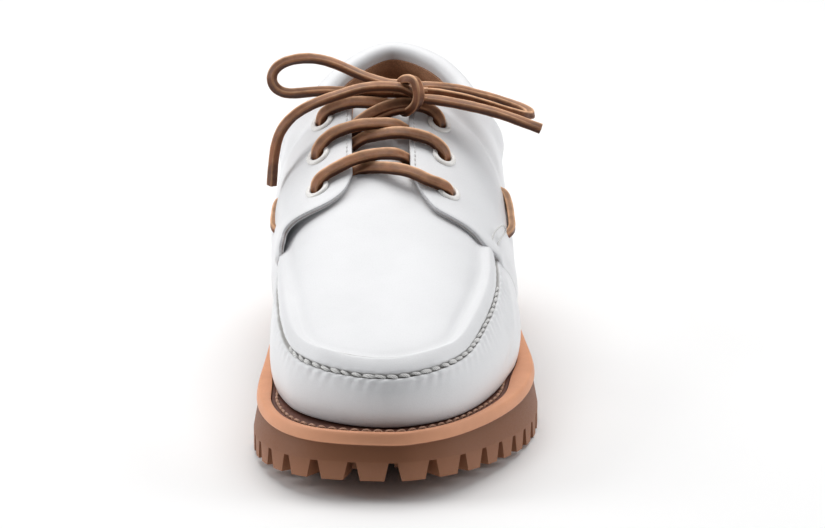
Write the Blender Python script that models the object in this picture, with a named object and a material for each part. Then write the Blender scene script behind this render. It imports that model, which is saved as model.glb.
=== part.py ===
"""Left low lace shoe with a moccasin toe and a lugged rubber sole.

Shoe frame, in millimetres: x is 0 near the middle line and grows to the outer
(lateral) side, y is 0 at the toe tip and grows to the heel, z is 0 on the
floor. place() turns that into the model's metres, with the origin on the
floor under the middle of the sole, the toe at -Y and the lateral side at +X.
"""

import math

import bmesh
import bpy
import numpy as np
from mathutils import Matrix, Vector

for old in list(bpy.data.objects):
    bpy.data.objects.remove(old, do_unlink=True)

# ---------------------------------------------------------------- sizes, mm
SOLE_LENGTH = 300.0
SOLE_MID_X = 2.07  # middle of the sole's width in shoe x
GAP = 0.3  # clearance between pieces that touch in the real shoe

RIM_HEIGHT = 4.8  # smooth band round the top of the outsole
RIM_WIDTH = 3.6  # top of that band, outside the midsole
RIM_ROUND = 0.8
SIDE_FLARE = 1.3  # side wall stands out below the band
LUG_DEPTH = 7.5
LUG_REACH = 13.0  # edge lugs reach this far in from the side wall
LUG_TAPER = 1.7  # a lug's end is shorter than its root by this at each end
LUGS_A_SIDE = 27
TOE_PITCH = [16.2, 15.3, 13.8]
LUG_SHARE = 0.79  # of the pitch, the rest is the notch
ARCH_Y = (152.0, 209.0)  # no lugs under the arch

MIDSOLE_THICK = 3.0
MIDSOLE_BELOW_RIM = 0.8
INSOLE_THICK = 3.2

WALL = 2.0  # lined leather of vamp, apron and quarters
QUARTER_LAP = 1.2  # quarter lies over the vamp
FLAP_LIFT = 3.0  # doubled eyestay flap above the apron
MEDIAL_FLAP_LIFT = 2.6  # the inner flap stands up a little more
COLLAR_OUT = 2.0  # padded collar, bulge outwards and inwards
COLLAR_IN = 3.2
MOC_LIP = 1.5  # raised roll of the moccasin seam

THROAT_HALF = 11.6  # half the gap between the two eyestays
THROAT_Y = 143.0  # rear edge of the apron
MOC_END_Y = 118.0  # moccasin seam runs under the flaps here
EYESTAY_END_Y = 191.0

TONGUE_THICK = 2.2
EYELET_OUT, EYELET_HOLE, EYELET_BARREL = 5.5, 3.0, 3.5  # radii
LACE_WIDE, LACE_THICK = 3.6, 3.4  # square-cut leather lace
LACE_D = 3.6

# Sole's top edge in plan, toe to heel: y, medial x, lateral x
SOLE_EDGE = [
    (0.3, -0.6, -0.6),
    (3.0, -20.0, 9.8),
    (10.5, -36.0, 21.5),
    (22.0, -45.2, 32.0),
    (40.0, -51.8, 43.6),
    (60.0, -54.3, 52.2),
    (80.0, -54.0, 57.0),
    (100.0, -52.3, 58.6),
    (125.0, -50.2, 56.8),
    (150.0, -48.2, 54.4),
    (175.0, -46.4, 52.2),
    (200.0, -45.0, 50.8),
    (225.0, -43.2, 49.6),
    (250.0, -39.6, 46.4),
    (272.0, -31.0, 38.6),
    (290.0, -16.5, 24.5),
    (299.7, 4.0, 4.0),
]
# Heights along the sole: y, top edge, lug ends
SOLE_HEIGHT = [
    (0.0, 27.6, 8.4),
    (30.0, 26.3, 5.0),
    (60.0, 25.5, 1.6),
    (82.0, 25.2, 0.0),
    (110.0, 25.1, 0.0),
    (140.0, 26.0, 0.0),
    (175.0, 28.2, 0.0),
    (210.0, 30.8, 0.0),
    (250.0, 33.0, 0.0),
    (284.0, 34.2, 0.0),
    (300.0, 34.6, 1.2),
]
# Sections of the upper, toe to heel. The outline is where the wall is widest,
# at height z_wide; power is the roundness of the arch above it, where 2 is an
# ellipse and 3.4 is boxy; tuck is how far the wall draws in at the sole.
SECTIONS = [
    # y, medial x, lateral x, z_wide med, lat, power med, lat, tuck
    (9.0, -3.0, -3.0, 35, 35, 3.4, 3.4, 1.6),
    (13.0, -17.5, 11.5, 35, 35, 3.4, 3.2, 1.6),
    (22.0, -30.5, 23.5, 35, 35, 3.4, 3.0, 1.6),
    (35.0, -40.3, 32.7, 35, 34, 3.4, 2.8, 1.6),
    (52.0, -45.8, 40.6, 35, 33, 3.4, 2.5, 1.8),
    (75.0, -49.0, 47.8, 35, 33, 3.3, 2.3, 2.0),
    (100.0, -48.8, 52.8, 37, 34, 2.9, 2.15, 2.2),
    (125.0, -47.6, 53.0, 43, 36, 2.3, 2.0, 3.4),
    (150.0, -47.8, 51.8, 51, 43, 2.08, 1.92, 5.0),
    (175.0, -47.4, 50.8, 56, 51, 2.12, 2.05, 6.0),
    (200.0, -46.0, 49.8, 58, 55, 2.1, 2.12, 6.0),
    (225.0, -43.2, 48.2, 58, 56, 2.05, 2.05, 5.4),
    (250.0, -36.8, 43.0, 57, 55, 2.0, 2.0, 4.0),
    (270.0, -28.5, 35.5, 58, 57, 2.0, 2.0, 3.6),
    (286.0, -15.5, 23.0, 58, 58, 2.0, 2.0, 3.4),
    (295.5, 4.0, 4.0, 58, 58, 2.0, 2.0, 3.4),
]
# Ridge of the last, as if the shoe were closed over the ankle: y, z, x
RIDGE = [
    (0, 49.0, -3.0),
    (18, 53.3, -3.0),
    (40, 57.6, -3.0),
    (60, 62.2, -2.6),
    (80, 67.6, -2.6),
    (100, 74.2, -2.8),
    (120, 82.0, -3.0),
    (145, 92.3, -3.2),
    (165, 101.0, -3.2),
    (185, 109.0, -2.8),
    (200, 119.0, -1.5),
    (215, 138.0, 0.5),
    (230, 154.0, 2.5),
    (245, 162.0, 3.5),
    (300, 165.0, 4.0),
]
RIDGE_ENDS = (46.0, 238.0)  # sections fan out from these two points
# Top line of the shoe behind the eyestays: y of the section, height medial and lateral
TOP_LINE = [
    (191.0, None, None),
    (200.0, 105.6, 105.6),
    (205.0, 101.5, 101.8),
    (210.0, 95.5, 96.4),
    (216.0, 89.0, 90.5),
    (224.0, 84.8, 87.0),
    (236.0, 84.6, 87.2),
    (252.0, 88.6, 91.0),
    (268.0, 95.0, 97.6),
    (284.0, 102.6, 104.8),
    (295.5, 108.5, 108.5),
]
# Crest of the moccasin seam, as a share of the section from wall to ridge
MOC_CREST = [
    # y, medial, lateral
    (9.0, 0.62, 0.62),
    (22.0, 0.55, 0.57),
    (35.0, 0.48, 0.52),
    (52.0, 0.45, 0.51),
    (75.0, 0.448, 0.485),
    (100.0, 0.37, 0.465),
    (118.0, 0.31, 0.46),
]
# Front edge of each eyestay flap: y, distance from the ridge, medial and lateral
FLAP_EDGE = [
    (118.0, 40.5, 41.5),
    (120.0, 39.2, 38.0),
    (121.8, 38.0, 32.0),
    (123.2, 37.4, 25.0),
    (125.2, 36.8, 20.8),
    (127.2, 31.0, 19.2),
    (128.8, 21.0, 18.2),
    (131.5, 17.0, 16.7),
    (135.0, 14.4, 15.2),
    (139.0, 12.9, 13.6),
    (143.0, 11.6, 11.6),
]
# Eyelets: y and distance from the ridge, medial then lateral
EYELETS = [
    (140.5, 25.0, 138.5, 26.3),
    (161.0, 24.6, 158.8, 25.0),
    (181.5, 23.0, 177.6, 23.4),
]


# Laces of each row, from their own eyelet to the far flap's edge. A point is
# on the section at y, its reach from the ridge (medial is negative), and its
# lift above the last.
CROSSINGS = {
    "lace_crossing_1": [
        # y, reach, lift: from the medial eyelet, then from the lateral one
        [(140.5, -25.0, 7.0), (141.5, -20.5, 7.1), (144, -15.5, 7.0), (147, -9.7, 6.3), (149.5, -3.6, 5.5), (151, 3.0, 4.6), (150.5, 9.3, 3.6)],
        [(136, 25.6, 7.0), (135.5, 20.8, 7.1), (136.5, 15.6, 6.7), (139.5, 9.8, 5.6), (142, 4.0, 4.4), (144.5, -2.5, 3.4), (145.5, -9.3, 3.2)],
    ],
    "lace_crossing_2": [
        [(162, -24.0, 7.0), (164.5, -19.1, 7.1), (166, -14.7, 7.0), (166.5, -9.1, 6.3), (167.5, -2.9, 5.5), (168.5, 3.1, 4.6), (168.5, 9.3, 3.6)],
        [(158.5, 24.6, 7.0), (161, 20.7, 7.1), (162, 15.6, 6.7), (162, 10.0, 5.6), (162.5, 4.0, 4.4), (163, -2.5, 3.4), (163.5, -9.3, 3.2)],
    ],
    "lace_crossing_3": [
        [(182.5, -22.6, 7.0), (183, -17.6, 7.1), (182, -12.3, 6.6), (180.2, -5.0, 4.8), (179.2, 1.0, 4.2), (178, 6.4, 3.9)],
        [(178.5, 22.8, 7.0), (180.5, 18.4, 7.0), (180.2, 13.0, 5.5), (178.4, 6.0, 4.0), (176.5, -1.0, 3.9), (175, -9.3, 3.3)],
    ],
}
# Side laces stand off the quarters: y, x, z of their middle line
SIDE_LACES = {
    "side_lace_lateral": [(153, 51.1, 62.0), (158, 51.0, 64.4), (164, 50.8, 67.3), (170, 50.3, 70.2), (175, 49.8, 72.6), (178, 49.4, 74.0)],
    "side_lace_medial": [(155, -49.5, 63.4), (160, -49.3, 66.0), (165, -48.9, 68.8), (170, -48.4, 71.6)],
}
SIDE_LACE_THICK = 1.8
# The bow: a knot on the crossing at the top, and the routes of its loops and
# ends, x, y, z, each from the knot's face outwards
KNOT_BOX = ((4.4, 174.2, 112.9), (14.8, 184.8, 122.6))
BOW = {
    "bow_loop_left": (26, [
        (4.1, 180.6, 119.5), (1.5, 180.7, 119.7), (-5.0, 182.4, 120.9), (-11.6, 184.6, 122.8), (-18.0, 186.4, 125.3),
        (-25.0, 187.6, 127.8), (-32.5, 187.8, 129.1), (-40.0, 187.0, 128.6), (-45.6, 186.0, 126.3), (-48.2, 185.0, 122.6),
        (-47.6, 184.0, 118.6), (-44.0, 183.4, 115.8), (-38.5, 183.0, 115.3), (-31.0, 182.8, 116.0), (-22.0, 182.7, 116.1),
        (-13.0, 182.9, 115.7), (-5.0, 183.0, 115.4), (1.5, 182.9, 115.3), (4.1, 182.9, 115.3),
    ]),
    "bow_loop_right": (24, [
        (15.3, 182.3, 118.2), (17.7, 182.7, 118.0), (22.5, 185.2, 116.9), (29.5, 188.8, 115.0), (38.0, 191.4, 112.1),
        (46.5, 192.4, 109.4), (53.4, 191.7, 107.1), (56.8, 190.5, 106.1), (59.0, 188.2, 105.4), (59.8, 185.2, 105.1),
        (59.0, 182.2, 105.4), (56.8, 179.9, 106.2), (53.4, 178.7, 107.4), (46.8, 178.3, 109.7), (38.4, 178.3, 112.5),
        (30.0, 178.4, 114.8), (22.0, 178.4, 116.4), (17.6, 178.4, 116.9), (15.1, 178.4, 116.9),
    ]),
    "lace_end_left": (17, [
        (4.1, 176.2, 119.6), (1.5, 176.0, 119.9), (-3.0, 175.0, 120.3), (-7.8, 173.6, 120.4), (-13.8, 172.2, 119.6),
        (-20.1, 171.0, 117.9), (-26.3, 170.0, 116.1), (-32.4, 169.0, 113.9), (-37.6, 168.0, 111.1), (-41.7, 167.2, 107.6),
        (-44.8, 166.6, 103.2), (-46.6, 166.2, 98.0), (-47.6, 166.0, 92.0), (-48.2, 166.0, 86.0), (-48.6, 166.0, 80.3),
    ]),
    "lace_end_right": (13, [
        (15.1, 175.9, 114.5), (17.6, 175.2, 114.5), (22.0, 174.2, 114.2), (29.9, 173.5, 112.9), (38.2, 173.0, 111.1),
        (46.6, 172.5, 108.8), (54.9, 172.0, 105.9), (63.7, 171.5, 102.6),
    ]),
}


# ------------------------------------------------------------ plain splines
def monotone(points):
    """Curve through (x, y) points with no overshoot between them."""
    x, y = (np.array(c, float) for c in zip(*points))
    h = np.diff(x)
    d = np.diff(y) / h
    m = np.concatenate([[d[0]], np.zeros(len(x) - 2), [d[-1]]])
    for i in range(1, len(x) - 1):
        if d[i - 1] * d[i] > 0:
            w1, w2 = 2 * h[i] + h[i - 1], h[i] + 2 * h[i - 1]
            m[i] = (w1 + w2) / (w1 / d[i - 1] + w2 / d[i])

    def value(at):
        at = np.clip(np.asarray(at, float), x[0], x[-1])
        i = np.clip(np.searchsorted(x, at, side="right") - 1, 0, len(x) - 2)
        t = (at - x[i]) / h[i]
        return (
            (1 + 2 * t) * (1 - t) ** 2 * y[i]
            + t * (1 - t) ** 2 * h[i] * m[i]
            + t * t * (3 - 2 * t) * y[i + 1]
            + t * t * (t - 1) * h[i] * m[i + 1]
        )

    return value


def smooth(x, y):
    """Natural cubic spline through (x, y)."""
    x, y = np.asarray(x, float), np.asarray(y, float)
    n, h = len(x), np.diff(x)
    a, b = np.eye(n), np.zeros(n)
    for i in range(1, n - 1):
        a[i, i - 1 : i + 2] = h[i - 1], 2 * (h[i - 1] + h[i]), h[i]
        b[i] = 6 * ((y[i + 1] - y[i]) / h[i] - (y[i] - y[i - 1]) / h[i - 1])
    m = np.linalg.solve(a, b)

    def value(at):
        at = np.asarray(at, float)
        i = np.clip(np.searchsorted(x, at, side="right") - 1, 0, n - 2)
        t, u, k = at - x[i], x[i + 1] - at, h[i]
        return (
            (m[i] * u**3 + m[i + 1] * t**3) / (6 * k)
            + (y[i] / k - m[i] * k / 6) * u
            + (y[i + 1] / k - m[i + 1] * k / 6) * t
        )

    return value


def round_trip(knots, medial, lateral):
    """Closed curve over t in 0..2: out along the lateral column from toe to heel, back by the medial."""
    t = np.concatenate([knots, 2 - knots[-2:0:-1]])
    v = np.concatenate([lateral, medial[-2:0:-1]])
    f = smooth(np.concatenate([t - 2, t, t + 2]), np.concatenate([v, v, v]))
    return lambda at: f(np.mod(at, 2.0))


def side_knots(rows):
    y, half = rows[:, 0], (rows[:, 2] - rows[:, 1]) / 2
    run = np.concatenate([[0], np.cumsum(np.hypot(np.diff(y), np.diff(half)))])
    return run / run[-1]


def step(x, a, b):
    """0 below a, 1 above b, smooth between."""
    t = np.clip((np.asarray(x, float) - a) / (b - a), 0, 1)
    return t * t * (3 - 2 * t)


# ------------------------------------------------------------- the last
_up = np.array(SECTIONS, float)
_k = side_knots(_up)
out_y = round_trip(_k, _up[:, 0], _up[:, 0])
out_x = round_trip(_k, _up[:, 1], _up[:, 2])
z_wide = round_trip(_k, _up[:, 3], _up[:, 4])
power = round_trip(_k, _up[:, 5], _up[:, 6])
tuck = round_trip(_k, _up[:, 7], _up[:, 7])
_ridge = np.array(RIDGE, float)
ridge_z = smooth(_ridge[:, 0], _ridge[:, 1])
ridge_x = smooth(_ridge[:, 0], _ridge[:, 2])
sole_top = monotone([(y, a) for y, a, b in SOLE_HEIGHT])
lug_end = monotone([(y, b) for y, a, b in SOLE_HEIGHT])
FOOT_LINE = GAP - MIDSOLE_BELOW_RIM  # the upper's lower edge against the sole's top edge


def ridge_point(t):
    """Where the section at t meets the ridge, in plan."""
    a, b, w = *RIDGE_ENDS, 5.0
    y = out_y(t)
    y = a + w * np.logaddexp(0, (y - a) / w)
    y = b - w * np.logaddexp(0, (b - y) / w)
    return np.stack([ridge_x(y), y], -1)


def last(t, phi):
    """Point of the outer surface: phi is -1 at the sole, 0 where the wall is widest, 1 on the ridge."""
    t, phi = np.broadcast_arrays(np.asarray(t, float), np.asarray(phi, float))
    o, s = np.stack([out_x(t), out_y(t)], -1), ridge_point(t)
    n, zw = power(t), z_wide(t)
    up = np.clip(phi, 0, 1) * math.pi / 2
    plan = s + (o - s) * (np.cos(up) ** (2 / n))[..., None]
    z = zw + (ridge_z(plan[..., 1]) - zw) * np.sin(up) ** (2 / n)
    down = np.clip(-phi, 0, 1) * math.pi / 2
    out = (o - s) / np.linalg.norm(o - s, axis=-1)[..., None]
    plan = plan - out * (tuck(t) * (1 - np.cos(down)))[..., None]
    foot = sole_top(plan[..., 1]) + FOOT_LINE
    z = np.where(phi < 0, zw - (zw - foot) * np.sin(down), z)
    return np.concatenate([plan, z[..., None]], -1)


def last_normal(t, phi):
    """Outward direction, level on the wall below its widest line."""
    t, phi = np.broadcast_arrays(np.asarray(t, float), np.asarray(phi, float))
    e, f = 2e-4, 2e-3
    p = np.clip(phi, 0.01, 0.985)
    a = last(t + e, p) - last(t - e, p)
    b = last(t, np.minimum(p + f, 0.995)) - last(t, p - f)
    n = np.cross(a, b)
    n /= np.linalg.norm(n, axis=-1)[..., None] + 1e-12
    # on the ridge the surface only slopes along the shoe
    y = ridge_point(t)[..., 1]
    slope = (ridge_z(y + 0.5) - ridge_z(y - 0.5)) / 1.0
    top = np.stack([0 * slope, -slope, 1 + 0 * slope], -1)
    top /= np.linalg.norm(top, axis=-1)[..., None]
    w = step(phi, 0.93, 0.99)[..., None]
    n = n * (1 - w) + top * w
    o, s = np.stack([out_x(t), out_y(t)], -1), ridge_point(t)
    level = np.concatenate([o - s, 0 * slope[..., None]], -1)
    level /= np.linalg.norm(level, axis=-1)[..., None]
    w = (1 - step(phi, 0.0, 0.12))[..., None]
    n = n * (1 - w) + level * w
    return n / np.linalg.norm(n, axis=-1)[..., None]


def offset(t, phi, by):
    return last(t, phi) + last_normal(t, phi) * np.asarray(by, float)[..., None]


_fine = np.linspace(0, 1, 4001)
_fine_y = out_y(_fine)


def t_at(y, medial):
    """Section whose outline is at y, on one side."""
    u = np.interp(y, _fine_y, _fine)
    return np.where(medial, 2 - u, u)


def phi_at_reach(t, reach):
    """Where the section is this far from the ridge in plan."""
    o, s = np.stack([out_x(t), out_y(t)], -1), ridge_point(t)
    c = np.clip(np.asarray(reach) / np.linalg.norm(o - s, axis=-1), 0, 1)
    return np.arccos(c ** (power(t) / 2)) * 2 / math.pi


def phi_at_height(t, z):
    grid = np.linspace(0, 1, 400)
    return float(np.interp(z, last(t, grid)[:, 2], grid))


def phi_spaced(t, phi_top, shares):
    """phi at these shares of the way from the sole to phi_top, measured on the surface; a share over 1 is mm below the top."""
    grid = np.linspace(-1, phi_top, 300)
    p = last(t, grid)
    run = np.concatenate([[0], np.cumsum(np.linalg.norm(np.diff(p, axis=0), axis=1))])
    return np.interp(shares, run, grid), run[-1]


# ------------------------------------------------------------ mesh helpers
def place(p):
    return ((p[0] - SOLE_MID_X) / 1000, (p[1] - SOLE_LENGTH / 2) / 1000, p[2] / 1000)


def material(name, colour, roughness, metallic=0.0):
    m = bpy.data.materials.new(name)
    m.use_nodes = True
    shader = m.node_tree.nodes["Principled BSDF"]
    shader.inputs["Base Color"].default_value = (*colour, 1)
    shader.inputs["Roughness"].default_value = roughness
    shader.inputs["Metallic"].default_value = metallic
    m.diffuse_color = (*colour, 1)
    return m


class Net:
    """Vertices and faces of one piece, in shoe millimetres."""

    def __init__(self):
        self.points, self.faces = [], []

    def add(self, p):
        self.points.append([float(c) for c in p])
        return len(self.points) - 1

    def ring(self, points):
        return [self.add(p) for p in points]

    def face(self, *v):
        self.faces.append(list(v))

    def bridge(self, a, b, closed=True):
        n = len(a)
        for i in range(n if closed else n - 1):
            j = (i + 1) % n
            self.face(a[i], a[j], b[j], b[i])

    def make(self, name, mat, angle=35):
        mesh = bpy.data.meshes.new(name)
        mesh.from_pydata([place(p) for p in self.points], [], self.faces)
        bm = bmesh.new()
        bm.from_mesh(mesh)
        bmesh.ops.remove_doubles(bm, verts=bm.verts, dist=2e-6)
        bmesh.ops.dissolve_degenerate(bm, edges=bm.edges, dist=1e-6)
        bmesh.ops.triangulate(bm, faces=[f for f in bm.faces if len(f.verts) > 3])
        bmesh.ops.recalc_face_normals(bm, faces=bm.faces)
        bm.to_mesh(mesh)
        bm.free()
        mesh.shade_smooth()
        mesh.set_sharp_from_angle(angle=math.radians(angle))
        mesh.materials.append(mat)
        obj = bpy.data.objects.new(name, mesh)
        bpy.context.collection.objects.link(obj)
        return obj


def cut(obj, cutter, operation="DIFFERENCE"):
    cutter.hide_render = True
    cutter.display_type = "WIRE"
    b = obj.modifiers.new("cut", "BOOLEAN")
    b.object, b.operation, b.solver = cutter, operation, "EXACT"


# ---------------------------------------------------------------- materials
WHITE = material("white_leather", (0.80, 0.80, 0.82), 0.45)
TAN_RUBBER = material("tan_rubber", (0.42, 0.20, 0.11), 0.55)
BROWN_BOARD = material("brown_midsole", (0.16, 0.07, 0.04), 0.6)
LINING = material("brown_lining", (0.14, 0.06, 0.03), 0.6)
LACE = material("tan_lace", (0.32, 0.15, 0.07), 0.5)
ENAMEL = material("white_enamel", (0.78, 0.77, 0.76), 0.35)

# ------------------------------------------------------------------ outsole
_sole = np.array(SOLE_EDGE, float)
_ks = side_knots(_sole)
edge_x = round_trip(_ks, _sole[:, 1], _sole[:, 2])
edge_y = round_trip(_ks, _sole[:, 0], _sole[:, 0])


def sole_edge(t, inset):
    """Sole's outline drawn in by inset, in plan."""
    e = 1e-4
    p = np.stack([edge_x(t), edge_y(t)], -1)
    d = np.stack([edge_x(t + e) - edge_x(t - e), edge_y(t + e) - edge_y(t - e)], -1)
    d /= np.linalg.norm(d, axis=-1)[..., None]
    return p - np.stack([d[..., 1], -d[..., 0]], -1) * np.asarray(inset)[..., None]


def side_stations(medial):
    """Stations down one side, toe to heel, and each lug's share of them.

    A lug has a station at each end of its root, and one between them where
    the outline turns.
    """
    u = np.linspace(0, 1, 2001)
    t = 2 - u if medial else u
    p = sole_edge(t, np.zeros(len(t)))
    run = np.concatenate([[0], np.cumsum(np.linalg.norm(np.diff(p, axis=0), axis=1))])
    side = LUGS_A_SIDE - len(TOE_PITCH)
    pitches = TOE_PITCH + [(run[-1] - sum(TOE_PITCH)) / side] * side
    marks, lugs, at = [0.0], [], 0.0
    for k, pitch in enumerate(pitches):
        notch = pitch * (1 - LUG_SHARE) / 2
        ends = [at + notch, at + pitch - notch]
        if k < 4 or k >= LUGS_A_SIDE - 4:
            ends.insert(1, at + pitch / 2)
        lugs.append(list(range(len(marks), len(marks) + len(ends))))
        marks += ends
        at += pitch
    marks.append(run[-1])
    return np.interp(marks, run, t), lugs


def outsole():
    net = Net()
    lat, lugs = side_stations(False)
    med = side_stations(True)[0]
    count = len(lat)
    loop = np.concatenate([lat, med[-2:0:-1]])  # once round: toe, lateral, heel, medial
    n = len(loop)

    def ring(inset, height):
        p = sole_edge(loop, np.full(n, float(inset)))
        return np.concatenate([p, height(p[:, 1])[:, None]], 1)

    floor = MIDSOLE_BELOW_RIM + MIDSOLE_THICK + GAP
    root = lambda y: lug_end(y) + LUG_DEPTH + 1.0 * step(y, 205, 225)
    profile = [
        (RIM_WIDTH, lambda y: sole_top(y) - floor),
        (RIM_WIDTH, sole_top),
        (RIM_ROUND, sole_top),
        (0.0, lambda y: sole_top(y) - RIM_ROUND),
        (0.0, lambda y: sole_top(y) - RIM_HEIGHT),
        (-SIDE_FLARE, root),
        (LUG_REACH, root),
    ]
    shapes = [ring(inset, height) for inset, height in profile]
    rings = [net.ring(s) for s in shapes]
    for a, b in zip(rings[:-2], rings[1:-1]):
        net.bridge(a, b)
    side, inner = rings[-2], rings[-1]
    side_p, inner_p = shapes[-2], shapes[-1]

    def partner(i):
        return (n - i) % n

    def patch(*v):
        v = [q for k, q in enumerate(v) if q not in v[:k]]
        net.face(*v)

    # floor of the recess that holds the midsole: strips across the shoe
    top = rings[0]
    for i in range(count - 1):
        patch(top[i], top[i + 1], top[partner(i + 1)], top[partner(i)])

    def lug(root_ids, low):
        """A lug: its root is the loop root_ids, its end the points low."""
        ids = net.ring([(x, y, float(lug_end(y))) for x, y in low])
        net.bridge(root_ids, ids)
        net.face(*ids)

    def treads(k):
        y = side_p[lugs[k][-1]][1]
        return not ARCH_Y[0] < y < ARCH_Y[1]

    in_lug = {i for k, ids in enumerate(lugs) if treads(k) for i in ids[:-1]}

    # edge lugs and the notches between them, down each side
    for way in (1, -1):
        at = lambda i: (way * i) % n
        for i in range(count - 1):
            if i not in in_lug:
                patch(side[at(i)], side[at(i + 1)], inner[at(i + 1)], inner[at(i)])
        for k, ids in enumerate(lugs):
            if not treads(k):
                continue
            ids = [at(i) for i in ids]
            low = []
            for row in (side_p[ids][:, :2], inner_p[ids][::-1][:, :2]):
                along = row[-1] - row[0]
                long = np.linalg.norm(along)
                give = along / long * min(LUG_TAPER, 0.3 * long)
                low += [row[0] + give, *row[1:-1], row[-1] - give]
            lug([side[j] for j in ids] + [inner[j] for j in ids[::-1]], low)

    # field of the tread: strips across, with two rows of square lugs
    shares = [0.0, 0.1, 0.43, 0.57, 0.9, 1.0]
    rows = []
    for i in range(count):
        a, b = inner_p[i], inner_p[partner(i)]
        if i in (0, count - 1):
            rows.append([inner[i]] * len(shares))
            continue
        ids = [inner[i]]
        for s in shares[1:-1]:
            q = a + (b - a) * s
            q[2] = root(q[1])
            ids.append(net.add(q))
        rows.append([*ids, inner[partner(i)]])
    field = [k for k in range(2, LUGS_A_SIDE - 2) if treads(k)]
    covered = {i for k in field for i in lugs[k][:-1]}
    for j in range(len(shares) - 1):
        for i in range(count - 1):
            if not (j in (1, 3) and i in covered):
                patch(rows[i][j], rows[i + 1][j], rows[i + 1][j + 1], rows[i][j + 1])
        for k in field if j in (1, 3) else []:
            ids = [rows[i][j] for i in lugs[k]] + [rows[i][j + 1] for i in lugs[k][::-1]]
            pts = np.array([net.points[v] for v in ids])[:, :2]
            mid = pts.mean(0)
            lug(ids, mid + (pts - mid) * (0.84, 0.76))
    return net.make("outsole", TAN_RUBBER, 30)


def plate(name, mat, outline, low, high, count=34):
    """Flat piece that follows the sole: outline(t) in plan, between two heights that depend on y."""
    net = Net()
    u = (1 - np.cos(np.linspace(0, math.pi, count))) / 2
    u = 0.5 * u + 0.5 * np.linspace(0, 1, count)
    loop = np.concatenate([u, (2 - u)[-2:0:-1]])
    p = outline(loop)
    n = len(loop)
    ends = []
    for height in (low, high):
        ids = net.ring(np.concatenate([p, height(p[:, 1])[:, None]], 1))
        for i in range(count - 1):
            quad = []
            for v in (ids[i], ids[i + 1], ids[(n - i - 1) % n], ids[(n - i) % n]):
                if v not in quad:
                    quad.append(v)
            net.face(*quad)
        ends.append(ids)
    net.bridge(*ends)
    return net.make(name, mat, 40)


def midsole():
    return plate(
        "midsole",
        BROWN_BOARD,
        lambda t: sole_edge(t, np.full(len(t), RIM_WIDTH + GAP)),
        lambda y: sole_top(y) - MIDSOLE_BELOW_RIM - MIDSOLE_THICK,
        lambda y: sole_top(y) - MIDSOLE_BELOW_RIM,
    )


def insole():
    def outline(t):
        p = last(t, -1.0)[..., :2]
        d = np.stack([out_x(t), out_y(t)], -1) - ridge_point(t)
        d /= np.linalg.norm(d, axis=-1)[..., None]
        return p - d * (WALL + 0.8)

    return plate(
        "insole",
        LINING,
        outline,
        lambda y: sole_top(y) - MIDSOLE_BELOW_RIM + GAP,
        lambda y: sole_top(y) - MIDSOLE_BELOW_RIM + GAP + INSOLE_THICK,
    )


# -------------------------------------------------------------------- upper
crest_phi = {
    True: monotone([(y, m) for y, m, l in MOC_CREST]),
    False: monotone([(y, l) for y, m, l in MOC_CREST]),
}
flap_reach = {
    True: monotone([(y, m) for y, m, l in FLAP_EDGE]),
    False: monotone([(y, l) for y, m, l in FLAP_EDGE]),
}


def _top_phi(medial):
    rows = []
    for y, z_medial, z_lateral in TOP_LINE:
        z = z_medial if medial else z_lateral
        t = float(t_at(y, medial))
        if z is None:
            rows.append((y, float(phi_at_reach(t, THROAT_HALF))))
        else:
            rows.append((y, phi_at_height(t, z)))
    return monotone(rows)


top_phi = {m: _top_phi(m) for m in (True, False)}


def edge_phi(t):
    """Upper edge of wall and quarter: seam crest, flap edge, eyestay, then top line."""
    medial = t > 1
    y = float(out_y(t))
    if y < MOC_END_Y:
        return float(crest_phi[medial](y))
    if y < THROAT_Y:
        return float(phi_at_reach(t, flap_reach[medial](y)))
    if y < EYESTAY_END_Y:
        return float(phi_at_reach(t, THROAT_HALF))
    return float(top_phi[medial](y))


def quarter_lift(t, phi):
    """How far the quarter's outside stands off the last: a lap at its front, more on the flaps."""
    y = out_y(t)
    behind = step(y, 112, 122)
    flap = step(phi, 0.15, 0.42) * (1 - step(y, 190, 215))
    lift = QUARTER_LAP + (FLAP_LIFT - QUARTER_LAP) * flap
    medial = (np.asarray(t) > 1) * np.exp(-(((y - 126) / 11) ** 2))
    bump = np.exp(-(((phi - 0.42) / 0.2) ** 2))
    return behind * (lift + MEDIAL_FLAP_LIFT * medial * bump)


BELOW_TOP = [15.0, 10.0, 5.0, 1.2, 0.0]  # rows near the edge, mm below it
FLAP_GROUPS = [
    # y from, y to, sections on each side
    (9.0, 118.0, 14),
    (143.0, 191.0, 6),
    (191.0, 226.0, 7),
    (226.0, 295.5, 9),
]


def section_list():
    """u of the sections on one side, toe to heel, with one on each corner of the edge."""
    us = [0.0]
    for y0, y1, count in FLAP_GROUPS:
        a, b = np.interp((y0, y1), _fine_y, _fine)
        us += list(np.linspace(a, b, count + 1)[1:])
        if y1 == MOC_END_Y:
            us += [float(np.interp(y, _fine_y, _fine)) for y, m, l in FLAP_EDGE[1:]]
    return np.array(us)


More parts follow.
